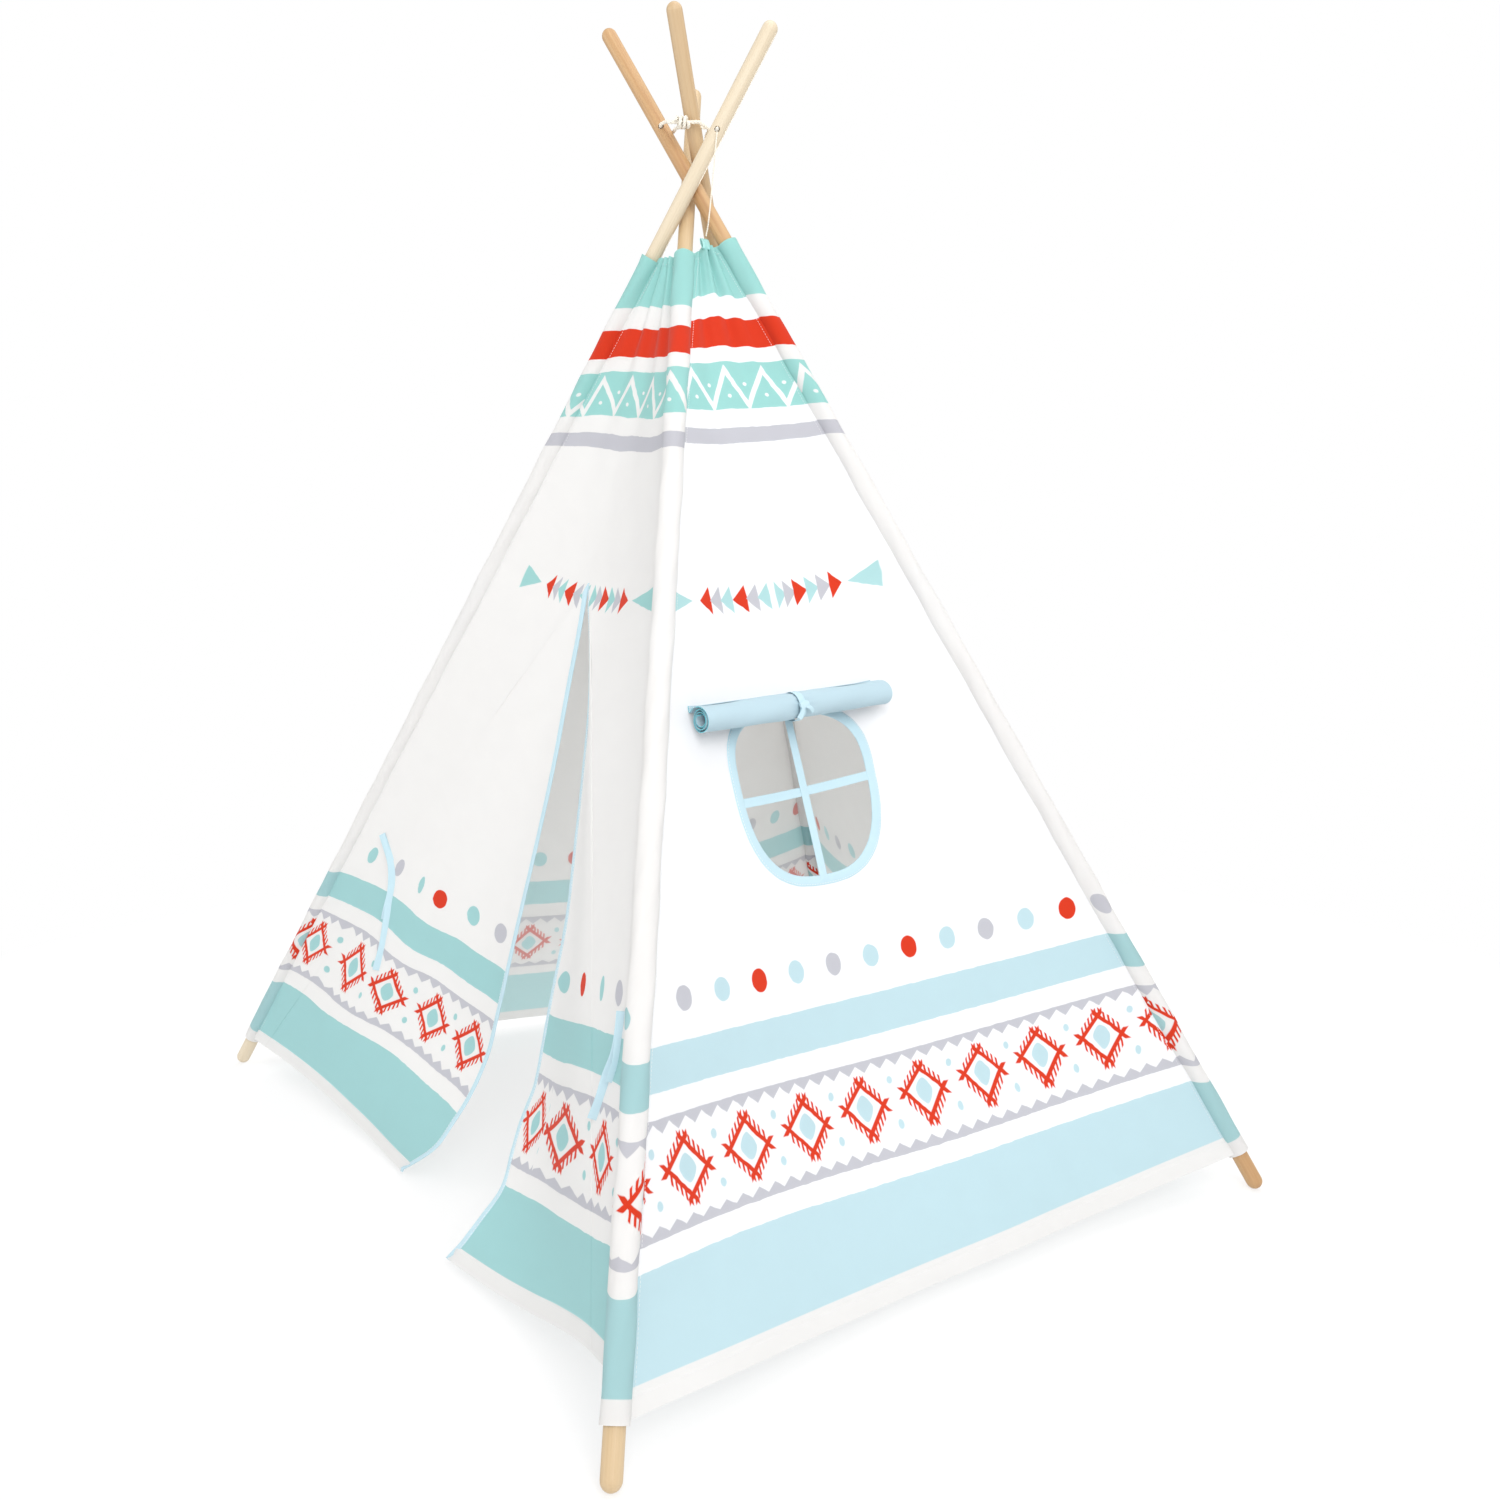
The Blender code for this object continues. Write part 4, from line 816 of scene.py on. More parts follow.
def new_material(name):
    material = bpy.data.materials.new(name)
    material.use_nodes = True
    tree = material.node_tree
    return material, tree, tree.nodes["Principled BSDF"], tree.nodes["Material Output"]


def add_group(tree, group, **values):
    node = tree.nodes.new("ShaderNodeGroup")
    node.node_tree = group
    for label, value in values.items():
        node.inputs[label].default_value = value
    return node


def cloth_finish(tree, shader, output, uv, colour, through=0.34, bump=0.00006, cloud=0.035, pitch=0.0009):
    """Matte cotton: weave bump, a faint cloudy tone, a little sheen and light that comes through."""
    weave = add_group(tree, WEAVE, Pitch=pitch)
    tree.links.new(uv, weave.inputs["UV"])
    toned = Value(tree, weave.outputs["Cloud"]) * cloud + (1 - cloud / 2)
    shade = tree.nodes.new("ShaderNodeMix")
    shade.data_type = "RGBA"
    shade.blend_type = "MULTIPLY"
    shade.inputs[0].default_value = 1.0
    tree.links.new(colour, shade.inputs[6])
    tree.links.new(toned.socket, shade.inputs[7])
    tree.links.new(shade.outputs[2], shader.inputs["Base Color"])
    add_bump(tree, weave.outputs["Height"], shader, 0.5, bump)
    shader.inputs["Roughness"].default_value = 0.92
    shader.inputs["Specular IOR Level"].default_value = 0.15
    shader.inputs["Sheen Weight"].default_value = 0.12
    if through:
        back = tree.nodes.new("ShaderNodeBsdfTranslucent")
        tree.links.new(shade.outputs[2], back.inputs["Color"])
        mix_shaders(tree, through, shader.outputs[0], back.outputs[0], output.inputs[0])


def printed_cloth(name, faded=0.0, **values):
    """Cotton with the print; faded is how much of the print is lost on the back of the cloth."""
    material, tree, shader, output = new_material(name)
    ink = add_group(tree, PRINT, **values)
    for label, layer in (("UV", "print"), ("Edge", "edge")):
        uv = tree.nodes.new("ShaderNodeUVMap")
        uv.uv_map = layer
        tree.links.new(uv.outputs[0], ink.inputs[label])
    colour = ink.outputs[0]
    if faded:
        share = tree.nodes.new("ShaderNodeValue")
        share.outputs[0].default_value = faded
        colour = mix_colours(tree, Value(tree, share.outputs[0]), colour, linear(240, 240, 238))
    cloth_finish(tree, shader, output, tree.nodes["UV Map"].outputs[0], colour)
    return material


def plain_cloth(name, colour, through=0.12, pitch=0.0010, cloud=0.06, bump=0.00010):
    """Cotton of one colour on object coordinates."""
    material, tree, shader, output = new_material(name)
    place = tree.nodes.new("ShaderNodeTexCoord")
    rgb = tree.nodes.new("ShaderNodeRGB")
    rgb.outputs[0].default_value = colour
    cloth_finish(tree, shader, output, place.outputs["Object"], rgb.outputs[0], through, bump, cloud, pitch)
    return material


def pole_wood(name, pole, pale, dark, streak):
    """Turned pine whose grain runs along one pole's axis."""
    material, tree, shader, _ = new_material(name)
    place = tree.nodes.new("ShaderNodeTexCoord")
    joined = tree.nodes.new("ShaderNodeCombineXYZ")
    for k, axis in enumerate((pole.side, pole.hinge, pole.up)):
        dot = tree.nodes.new("ShaderNodeVectorMath")
        dot.operation = "DOT_PRODUCT"
        dot.inputs[1].default_value = tuple(axis)
        tree.links.new(place.outputs["Object"], dot.inputs[0])
        tree.links.new(dot.outputs["Value"], joined.inputs[k])
    grain = add_group(tree, WOOD, Streak=streak, Pale=pale, Dark=dark)
    tree.links.new(joined.outputs[0], grain.inputs["Place"])
    tree.links.new(grain.outputs["Colour"], shader.inputs["Base Color"])
    add_bump(tree, grain.outputs["Height"], shader, 0.4, 0.0002)
    shader.inputs["Roughness"].default_value = 0.52
    shader.inputs["Coat Weight"].default_value = 0.10
    shader.inputs["Coat Roughness"].default_value = 0.35
    return material


# Cloth of each side: outside and inside of the print. Mint and white are set side by side as painted light:
# the window side has a paler mint and a brighter white painted in as painted highlight, the door side and the
# sleeves a deeper mint as painted shade, and the two far sides a mint between them.
SIDES = {"window": dict(Mint=linear(203, 228, 235), White=linear(250, 250, 252), Lean=0.12, Hem=0.0270),
         "door": dict(Mint=linear(174, 218, 219), Lean=0.0),
         "rear": dict(Mint=linear(184, 228, 230)), "side": dict(Mint=linear(184, 228, 230)),
         "sleeve": dict(Mint=linear(178, 216, 219), Lean=0.0, Hem=0.022)}
CLOTHS = {name: [printed_cloth(f"{name}_print", 0.0, **values), printed_cloth(f"{name}_print_back", 0.55, **values)]
          for name, values in SIDES.items()}
TAPE = plain_cloth("blue_tape", BLUE, 0.10, 0.0012)
BLIND_CLOTH = plain_cloth("blind_cotton", linear(190, 214, 224), 0.15)
TAB_CLOTH = plain_cloth("tab_cloth", linear(168, 221, 217))
# Painted shade: teal cloth for the blind's rims, standing for the shadow lines between the wound layers
PAINTED_EDGE_SHADE = plain_cloth("blind_edge_painted_shade", EDGE_SHADE_TEAL, 0.05)
THREAD = plain_cloth("thread", linear(244, 244, 244), 0.0, 0.0005, 0.02)
ROPE = plain_cloth("rope_cotton", linear(246, 240, 228), 0.10, 0.0006, 0.12, 0.0002)


def dress(piece, body, pole=None, face=None, nodes=()):
    """Set a piece on its body, give it a mesh of its own when a pole is given, and hide the CAD parts it stands for."""
    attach(piece, body)
    if pole is not None:
        tuple(face.inward(pole))
        tuple(pole.at(0.8))
        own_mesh(piece)
    if nodes:
        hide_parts(*nodes)
    return piece


BODY = {"front": "front_pole", "left": "left_pole", "right": "right_pole", "back": "back_pole"}


# Camera and cords

def make_camera():
    az, el, roll = (math.radians(x) for x in (CAMERA_AZIMUTH, CAMERA_ELEVATION, CAMERA_ROLL))
    back = np.array([math.sin(az) * math.cos(el), -math.cos(az) * math.cos(el), math.sin(el)])
    right = unit(np.cross(-back, [0, 0, 1]))
    up = np.cross(right, -back)
    right, up = right * math.cos(roll) + up * math.sin(roll), up * math.cos(roll) - right * math.sin(roll)
    data = bpy.data.cameras.new("camera")
    data.lens = CAMERA_LENS
    data.sensor_width = 36.0
    data.clip_end = 100.0
    camera = bpy.data.objects.new("camera", data)
    bpy.context.scene.collection.objects.link(camera)
    turn = Matrix([[right[k], up[k], back[k]] for k in range(3)]).to_4x4()
    camera.matrix_world = Matrix.Translation(Vector(CAMERA_PLACE)) @ turn
    bpy.context.scene.camera = camera


def rope_hole(name):
    return POLE[name].at(POLE_LENGTH - ROPE_HOLE_BELOW_TOP)


def path_length(path):
    return float(np.linalg.norm(np.diff(path, axis=0), axis=1).sum())


FORWARD = np.array([math.cos(ROPE_TURN), math.sin(ROPE_TURN), 0.0])
SIDEWAYS = np.array([-math.sin(ROPE_TURN), math.cos(ROPE_TURN), 0.0])
ROPE_DIAMETER = 0.0052
CORD_DIAMETER = 0.0024

# Rope's route: pole whose hole it is measured from, and metres sideways, forward and up from that hole
ROPE_ROUTE = (
    ("left", 0, 0.0160, 0), ("left", 0, 0.0080, 0), ("left", 0, 0, 0), ("left", 0, -0.0100, 0),
    ("left", 0, -0.0180, 0), ("back", 0.0110, 0.0170, 0), ("back", 0.0010, 0.0210, 0), ("back", -0.0060, 0.0215, 0),
    ("back", -0.0150, 0.0215, 0), ("back", -0.0240, 0.0215, 0), ("back", -0.0330, 0.0215, 0),
    ("right", 0.0090, 0.0290, 0), ("right", 0, 0.0165, 0), ("right", 0, 0, 0), ("right", 0, -0.0165, 0),
    ("right", 0.0140, -0.0160, 0), ("back", -0.0240, -0.0015, 0), ("back", -0.0140, 0, 0), ("back", 0, 0, 0),
    ("back", 0.0140, 0, 0), ("back", 0.0220, -0.0060, 0), ("back", 0.0170, -0.0250, -0.0060),
    ("front", 0.0340, 0.0200, 0.0060), ("front", 0.0250, 0, 0), ("front", 0.0125, 0, 0), ("front", 0, 0, 0),
    ("front", -0.0125, 0, 0), ("front", -0.0180, 0, 0))


def make_ropes():
    """Threaded rope, its wound knot, and the thin cord from the left pole's hole to the window side's tab."""
    hole = {name: rope_hole(name) for name in POLES}
    near, right, up = FORWARD, SIDEWAYS, np.array([0.0, 0.0, 1.0])
    route = [hole[name] + right * aside + near * ahead + up * rise for name, aside, ahead, rise in ROPE_ROUTE]
    path = spline_points(route, 0.0012)
    rope = dress(laid_rope("rope", path, ROPE_DIAMETER / 2, ROPE), "crown", nodes=["lashing_rope"])

    start = hole["back"] - right * 0.0235 + near * 0.0215
    turn = np.linspace(0, 3, 220)[:, None]
    spin = (ROPE_DIAMETER + 0.0008) * (np.cos(2 * math.pi * turn) * near + np.sin(2 * math.pi * turn) * up)
    wrap = start + right * 0.0062 * turn + spin
    dress(laid_rope("rope_wraps", wrap, ROPE_DIAMETER / 2, ROPE), "crown", nodes=["lashing_wrap"])

    tab_top = WINDOW.point(CANOPY_TOP, 0.5, fine=0.0)
    end = hole["left"] + near * (POLE_RADIUS + CORD_DIAMETER + 0.0003)
    drop = [end - up * (ROPE_DIAMETER / 2 + CORD_DIAMETER / 2 - 0.0003), end + (tab_top - end) * 0.33 - up * 0.0052,
            tab_top + (end - tab_top) * 0.25, tab_top + up * (0.016 + CORD_DIAMETER)]
    thin = spline_points(drop, 0.0010)
    cord = dress(laid_rope("thin_cord", thin, CORD_DIAMETER / 2, ROPE, 2, 0.006, 6), "crown",
                 nodes=["hang_cord"])


# Canopy

def hem_rows(low, high):
    """Heights as shares from the hem to the top edge, closer together at the turned hem and the top hem."""
    length = high - low
    near = np.array([0.0, 0.0015, 0.006, 0.012, 0.018, 0.0200, 0.0207, 0.0214, 0.0225, 0.026])
    middle = np.arange(0.034, length - 0.026, ROW_STEP)
    return np.concatenate([near, middle, length - TOP_HEM_ROWS]) / length


def turned_edges(s, low, high):
    """Extra height of the turned hem and of the folded top edge."""
    return (HEM_EXTRA * smooth((HEM_HEIGHT + low - s) / 0.0010)
            + TOP_EXTRA * smooth((s - high + 0.0145) / 0.0010))


def low_edge(face, t):
    """Height of a side's lower edge."""
    return curve_through(DOOR_LOW, t) if face is DOOR else face.hem(t)


def between_rows(rows, s, t):
    """Lift of the print at s and t, from curves across at a few heights with straight steps between them."""
    lift = curve_through(rows[0][1], t)
    for (low, under), (high, over) in zip(rows, rows[1:]):
        share = np.clip((s - low) / (high - low), 0.0, 1.0)
        lift = lift + (curve_through(over, t) - curve_through(under, t)) * share
    return lift


def door_marks(marks, half, t):
    """Place in the print across the door, with each mark as wide as the cloth's folds show it."""
    knots = [(place + side * wide, u + side * half) for place, u, wide in marks for side in (-1, 1)]
    knots = [(0.0, knots[0][1] - 0.03), *knots, (1.0, knots[-1][1] + 0.03)]
    return np.interp(t, *np.transpose(knots))


def side_uv(face, s, t):
    """Place across and row height in the print, and height over the lower edge, of points of a side."""
    s, t = np.broadcast_arrays(np.asarray(s, float), np.asarray(t, float))
    rows = {WINDOW: WINDOW_ROWS, DOOR: DOOR_ROWS}.get(face, PLAIN_ROWS)
    u = (t - 0.5) * face.width(s)
    if face is DOOR:
        place = door_marks(DOOR_DIAMONDS, DIAMOND_HALF, t)
        place = place + (door_marks(DOOR_DOTS, DOT_HALF, t) - place) * smooth((s - 0.335) / 0.06)
        place = place + (np.interp(t, *np.transpose(DOOR_ARROWS)) - place) * smooth((s - 0.55) / 0.20)
        u = place + (u - place) * smooth((s - 1.05) / 0.08)
    return np.stack([u, s - between_rows(rows, s, t), s - low_edge(face, t)], axis=-1)


def peak(face, t):
    """The window side's top edge is drawn up to its tab in the middle."""
    if face is not WINDOW:
        return 0.0 * t
    return 0.009 * np.exp(-((t - 0.5) / 0.13)**2)


def panel_grid(face, low_t, high_t, columns):
    """Grid of s, t and middle points of a side between two shares across; None means the sleeve."""
    reference = np.linspace(0, 1, columns)
    rows = hem_rows(CANOPY_HEM, CANOPY_TOP)[:, None]
    t = np.empty((len(rows), columns))
    s = CANOPY_HEM + (CANOPY_TOP - CANOPY_HEM) * rows + 0 * reference
    for _ in range(3):
        low_rim, high_rim = face.rims(s, SLEEVE_RADIUS - SEAM_LAP)
        near = low_rim if low_t is None else low_t + 0 * s
        far = high_rim if high_t is None else high_t + 0 * s
        t = near + (far - near) * reference
        top = CANOPY_TOP + peak(face, t)
        s = low_edge(face, t) * (1 - rows) + top * rows
    extra = turned_edges(s, low_edge(face, t), CANOPY_TOP + peak(face, t))
    return s, t, face.point(s, t, extra / 2), extra


def cloth_piece(name, face, s, t, points, extra, cloths):
    """Printed cloth of a side from a grid of its points."""
    return shell(name, points, grid_faces(*s.shape), grid_normals(points, face.out), (FABRIC + extra).reshape(-1),
                 cloths, side_uv(face, s, t))


def quad_area(points, faces):
    """Area of four-sided faces."""
    a, b, c, d = (points.reshape(-1, 3)[faces[:, k]] for k in range(4))
    return 0.5 * float(np.linalg.norm(np.cross(c - a, d - b), axis=-1).sum())


def declare(points, faces=None):
    """Work out the length of the longest column and the area of a grid of points; neither is kept."""
    length = max(path_length(column) for column in points.swapaxes(0, 1))
    faces = grid_faces(*points.shape[:2]) if faces is None else faces
    quad_area(points, faces)


def seam_rows(face, pole_first):
    """Stitches of a side beside the first or the second sleeve."""
    pole = face.first if pole_first else face.second
    s = np.linspace(CANOPY_HEM + 0.004, CANOPY_TOP - 0.004, 260)
    low_rim, high_rim = face.rims(s, SLEEVE_RADIUS + SEAM_AWAY)
    line = face.point(s, low_rim if pole_first else high_rim)
    normal = units(np.cross(units(np.gradient(line, axis=0)), face.across))
    normal = normal if np.sum(normal * face.out) > 0 else -normal
    stitch(BODY[pole.name], (face, pole), line, normal, lift=FABRIC / 2 + 0.0002)


def flat_stitches(body, face, pole, line):
    """Stitches along a line of a side's own plane."""
    stitch(body, (face, pole), line, np.repeat(face.out[None], len(line), axis=0), lift=FABRIC / 2 + 0.0003)


def edge_rows(face, pole, t):
    """Stitches along the hem and the top edge over shares t across."""
    for height, rise in ((low_edge(face, t) + HEM_HEIGHT - HEM_STITCH_DROP, HEM_EXTRA),
                         (CANOPY_TOP + peak(face, t) - TOP_STITCH_DROP, TOP_EXTRA)):
        flat_stitches(BODY[pole.name], face, pole, face.point(height, t, rise))


def window_shape(s, t):
    """F < 1 inside the window's rounded opening, with the height and distance from its middle."""
    up = s - WINDOW_CENTRE
    side = (t - 0.5) * WINDOW.width(s) - WINDOW_SIDEWAYS
    tall = np.where(up > 0, WINDOW_UP, WINDOW_DOWN)
    return (np.abs(side) * 2 / WINDOW_WIDTH)**WINDOW_POWER + (np.abs(up) / tall)**WINDOW_POWER, up, side


def window_outline(angle, grow):
    c, s = np.cos(angle), np.sin(angle)
    tall = np.where(s > 0, WINDOW_UP, WINDOW_DOWN) + grow
    sideways = WINDOW_SIDEWAYS + (WINDOW_WIDTH / 2 + grow) * np.sign(c) * np.abs(c)**(2 / WINDOW_POWER)
    height = WINDOW_CENTRE + tall * np.sign(s) * np.abs(s)**(2 / WINDOW_POWER)
    return height, sideways


def on_window(height, sideways, out=0.0, fine=1.0):
    height, sideways = np.broadcast_arrays(np.asarray(height, float), np.asarray(sideways, float))
    return WINDOW.point(height, 0.5 + sideways / WINDOW.width(height), out, fine=fine)


def make_plain_sides():
    """Both sides away from the camera, each in two halves that ride on their own poles."""
    split = 0.5
    for face, key, node in ((REAR, "rear", "back_panel"), (SIDE, "side", "left_panel")):
        for first in (True, False):
            pole = face.first if first else face.second
            s, t, points, extra = panel_grid(face, None if first else split, split if first else None, 60)
            piece = cloth_piece(f"{key}_cloth_{pole.name}", face, s, t, points, extra, CLOTHS[key])
            dress(piece, BODY[pole.name], pole, face, [node])
            declare(points)
            seam_rows(face, first)
            edge_rows(face, pole, t[0])


WINDOW_SPLIT = 0.72


def make_window_side():
    """Window side in two parts, with its opening.

    Grid cells inside the opening go, and the points left in it move out to its edge.
    """
    s, t, uncut, extra = panel_grid(WINDOW, None, WINDOW_SPLIT, 120)
    shape, up, side = window_shape(s, t)
    faces = grid_faces(*s.shape)
    keep = ~(shape.reshape(-1)[faces] < 1).all(axis=1)
    scale = np.where(shape < 1, np.maximum(shape, 1e-9)**(-1 / WINDOW_POWER), 1.0)
    near = (shape < 1) & (scale < 1.5)
    s = np.where(near, WINDOW_CENTRE + up * scale, s)
    u = np.where(near, WINDOW_SIDEWAYS + side * scale, (t - 0.5) * WINDOW.width(s))
    t = np.where(near, 0.5 + u / WINDOW.width(s), t)
    points = WINDOW.point(s, t, extra / 2)
    normals = grid_normals(uncut, WINDOW.out)
    piece = shell("window_cloth_front", points, faces[keep], normals, (FABRIC + extra).reshape(-1), CLOTHS["window"],
                  side_uv(WINDOW, s, t))
    dress(piece, "front_pole", WINDOW.first, WINDOW, ["window_panel"])
    declare(points, faces=faces[keep])
    s, t, points, extra = panel_grid(WINDOW, WINDOW_SPLIT, None, 44)
    piece = cloth_piece("window_cloth_right", WINDOW, s, t, points, extra, CLOTHS["window"])
    dress(piece, "right_pole", WINDOW.second, WINDOW)
    declare(points)
    for first, span in ((True, np.linspace(0.03, WINDOW_SPLIT, 120)), (False, np.linspace(WINDOW_SPLIT, 0.97, 60))):
        seam_rows(WINDOW, first)
        edge_rows(WINDOW, WINDOW.first if first else WINDOW.second, span)


def make_window_trim():
    """Binding, crossed bars and stitches of the window."""
    angle = np.linspace(0, 2 * math.pi, 240, endpoint=False)
    inner = on_window(*window_outline(angle, -WINDOW_BINDING))
    outer = on_window(*window_outline(angle, 0.0022))
    centre, across = (inner + outer) / 2, (outer - inner) / 2
    normal = np.repeat(WINDOW.out[None], len(angle), axis=0)
    ripple = 0.0026 + 0.0003 * np.sin(angle * 23) + 0.0002 * np.sin(angle * 41)
    piece = tape("window_tape", centre, across, normal, ripple, TAPE, closed=True)
    dress(piece, "front_pole", WINDOW.first, WINDOW, ["window_binding"])
    line = on_window(*window_outline(np.append(angle, angle[0]), -0.0002))
    stitch("front_pole", (WINDOW, WINDOW.first), line, np.append(normal, normal[:1], axis=0), lift=0.0016)

    bottom, _ = window_outline(-math.pi / 2, -0.004)
    top, _ = window_outline(math.pi / 2, -0.004)
    height = np.linspace(bottom, top, 60)
    line = on_window(height, WINDOW_SIDEWAYS, 0.0012)
    across = np.repeat((WINDOW.across * 0.006)[None], 60, axis=0)
    normal = np.repeat(WINDOW.out[None], 60, axis=0)
    bar = tape("upright_bar", line, across, normal, 0.0011, TAPE)
    dress(bar, "front_pole", WINDOW.first, WINDOW, ["muntin_upright"])
    reach = WINDOW_WIDTH / 2 - 0.0060
    sideways = np.linspace(-reach, reach, 60)
    line = on_window(CROSS_BAR_HEIGHT + CROSS_BAR_LEAN * sideways, WINDOW_SIDEWAYS + sideways, -0.0004)
    across = units(np.cross(normal, np.gradient(line, axis=0))) * 0.006
    bar = tape("cross_bar", line, across, normal, 0.0011, TAPE)
    dress(bar, "front_pole", WINDOW.first, WINDOW, ["muntin_cross"])


def door_edge_share(s, left):
    return curve_through(LEFT_EDGE if left else RIGHT_EDGE, s / SLIT_TOP)


def make_door_side():
    """Door side above the slit, the strips beside both poles and the two halves that turn."""
    for left in (True, False):
        line = LEFT_LINE if left else RIGHT_LINE
        pole = DOOR.first if left else DOOR.second
        cloths = CLOTHS["door"]
        columns = 44
        reference = np.linspace(0, 1, columns)[None, :]
        top = CANOPY_TOP - SLIT_TOP
        rows = np.concatenate([np.arange(0, top - 0.026, ROW_STEP), top - TOP_HEM_ROWS])[:, None]
        s = SLIT_TOP + rows + 0 * reference
        low_rim, high_rim = DOOR.rims(s, SLEEVE_RADIUS - SEAM_LAP)
        near = low_rim if left else high_rim
        t = near + (SLIT_SHARE - near) * reference
        extra = turned_edges(s, -1.0, CANOPY_TOP)
        fade = smooth(1 - rows / 0.17) * smooth(reference)
        upper_points = DOOR.point(s, t, extra / 2 - DOOR.folds(s, t) * fade)
        upper_s, upper_t, upper_extra = s, t, extra

        rows = hem_rows(HINGE_FOOT, SLIT_TOP + 0.03)
        rows = rows[rows <= (SLIT_TOP - HINGE_FOOT) / (SLIT_TOP + 0.03 - HINGE_FOOT) - 0.004][:, None]
        low = HINGE_FOOT + 0 * reference
        for _ in range(4):
            s = low + (SLIT_TOP + 0.03 - low) * rows
            low_rim, high_rim = DOOR.rims(s, SLEEVE_RADIUS - SEAM_LAP)
            near = low_rim if left else high_rim
            t = near + (line.share(s) - near) * reference
            low = low_edge(DOOR, t[:1])
        s = np.vstack([s, np.full((1, columns), SLIT_TOP)])
        t = np.vstack([t, t[-1:]])
        extra = turned_edges(s, low, 9.0)
        flat = DOOR.folds(s, t) * smooth(reference)
        ease = line.ease(s)
        points = DOOR.point(s, t, extra / 2 - flat, ease)
        points[-1] = upper_points[0]
        t[-1] = upper_t[0]
        s, t, points, extra = (np.concatenate([below, above[1:]]) for below, above in (
            (s, upper_s), (t, upper_t), (points, upper_points), (extra, upper_extra)))
        name = "door_cloth_left" if left else "door_cloth_right"
        piece = cloth_piece(name, DOOR, s, t, points, extra, cloths)
        dress(piece, BODY[pole.name], pole, DOOR, ["door_panel"])
        declare(points)
        seam_rows(DOOR, left)
        side_t = np.linspace(0.04, SLIT_SHARE, 60) if left else np.linspace(SLIT_SHARE, 0.96, 60)
        flat_stitches(BODY[pole.name], DOOR, pole, DOOR.point(CANOPY_TOP - TOP_STITCH_DROP, side_t, TOP_EXTRA))
        make_flap(left, line, pole, cloths)


def flap_point(line, left, s, tau, out=0.0):
    """Point of a door half: tau runs from 0 on the fold line to 1 on its free edge."""
    free = door_edge_share(s, left)
    start = line.share(s)
    t = start + (free - start) * tau
    ease = line.ease(s)
    ease = ease + (1 - ease) * smooth(tau)
    flare = 0.0 if left else FLAP_FLARE * smooth(1 - s / FLARE_HEIGHT) * tau**2
    shade = smooth(tau)
    return t, DOOR.point(s, t, out + flare - DOOR.folds(s, t) * (1 - shade), ease, fine=shade)


def make_flap(left, line, pole, cloths):
    columns = 90
    reference = np.linspace(0, 1, columns)[None, :]
    rows = hem_rows(HINGE_FOOT, SLIT_TOP)[:, None]
    low = HINGE_FOOT + 0 * reference
    for _ in range(5):
        s = low + (SLIT_TOP - 0.004 - low) * rows
        free = door_edge_share(s, left)
        reach = np.abs(free - line.share(s)) * DOOR.width(s)
        inner = np.clip(1 - 0.0045 / np.maximum(reach, 0.006), 0.1, 1.0)
        tau = reference * inner
        low = low_edge(DOOR, (line.share(s) + (free - line.share(s)) * tau)[:1])
    extra = HEM_EXTRA * smooth((HEM_HEIGHT + low - s) / 0.0010)
    t, points = flap_point(line, left, s, tau, extra / 2)
    name = "left" if left else "right"
    body = f"{name}_door"
    piece = cloth_piece(f"door_half_{name}", DOOR, s, t, points, extra, cloths)
    dress(piece, body, pole, DOOR, [f"door_flap_{name}"])
    declare(points)
    height = (low + HEM_HEIGHT - HEM_STITCH_DROP)[0]
    flat_stitches(body, DOOR, pole, flap_point(line, left, height, tau[0], HEM_EXTRA)[1])

    count = 200
    s = np.linspace(low[0, -1] - 0.0006, SLIT_TOP - 0.002, count)
    reach = np.abs(door_edge_share(s, left) - line.share(s)) * DOOR.width(s)
    wide = np.minimum(0.0100, reach * 0.9)
    _, edge = flap_point(line, left, s, np.ones(count))
    _, back = flap_point(line, left, s, 1 - wide / np.maximum(reach, 1e-6))
    normal = np.repeat(DOOR.out[None], count, axis=0)
    thick = 0.0024 + 0.0003 * np.sin(np.arange(count) * 0.9)
    band = tape(f"door_tape_{name}", (edge + back) / 2, (edge - back) / 2, normal, thick, TAPE)
    dress(band, body, pole, DOOR, [f"flap_binding_{name}"])
    inner_line = back + (edge - back) * 0.12
    stitch(body, (DOOR, pole), inner_line, normal, lift=0.0011)


SLEEVE_PRINT = {"front": (WINDOW, -0.4405, 0.008), "left": (DOOR, -0.4400, 0.0), "right": (WINDOW, 0.4300, 0.0)}


def sleeve_uv(pole, s, ring):
    """Print of a sleeve: it runs on from the seam of one side, by the arc from that seam."""
    face, u, rise = SLEEVE_PRINT.get(pole.name, (SIDE, -0.4400, 0.0))
    first = face.first is pole
    seam = face.across if first else -face.across
    arc = SLEEVE_RADIUS * np.arccos(np.clip(ring @ unit(seam - pole.up * (seam @ pole.up)), -1, 1))
    level = s[:, None] + SLEEVE_RADIUS * ring[None, :, 2] / pole.up[2]
    rows = side_uv(face, level, 0.0 if first else 1.0)[..., 1] + rise
    place = np.broadcast_to(u - arc if first else u + arc, rows.shape)
    return np.stack([place, rows,
                     np.broadcast_to((s - CANOPY_HEM)[:, None], place.shape)], axis=-1)


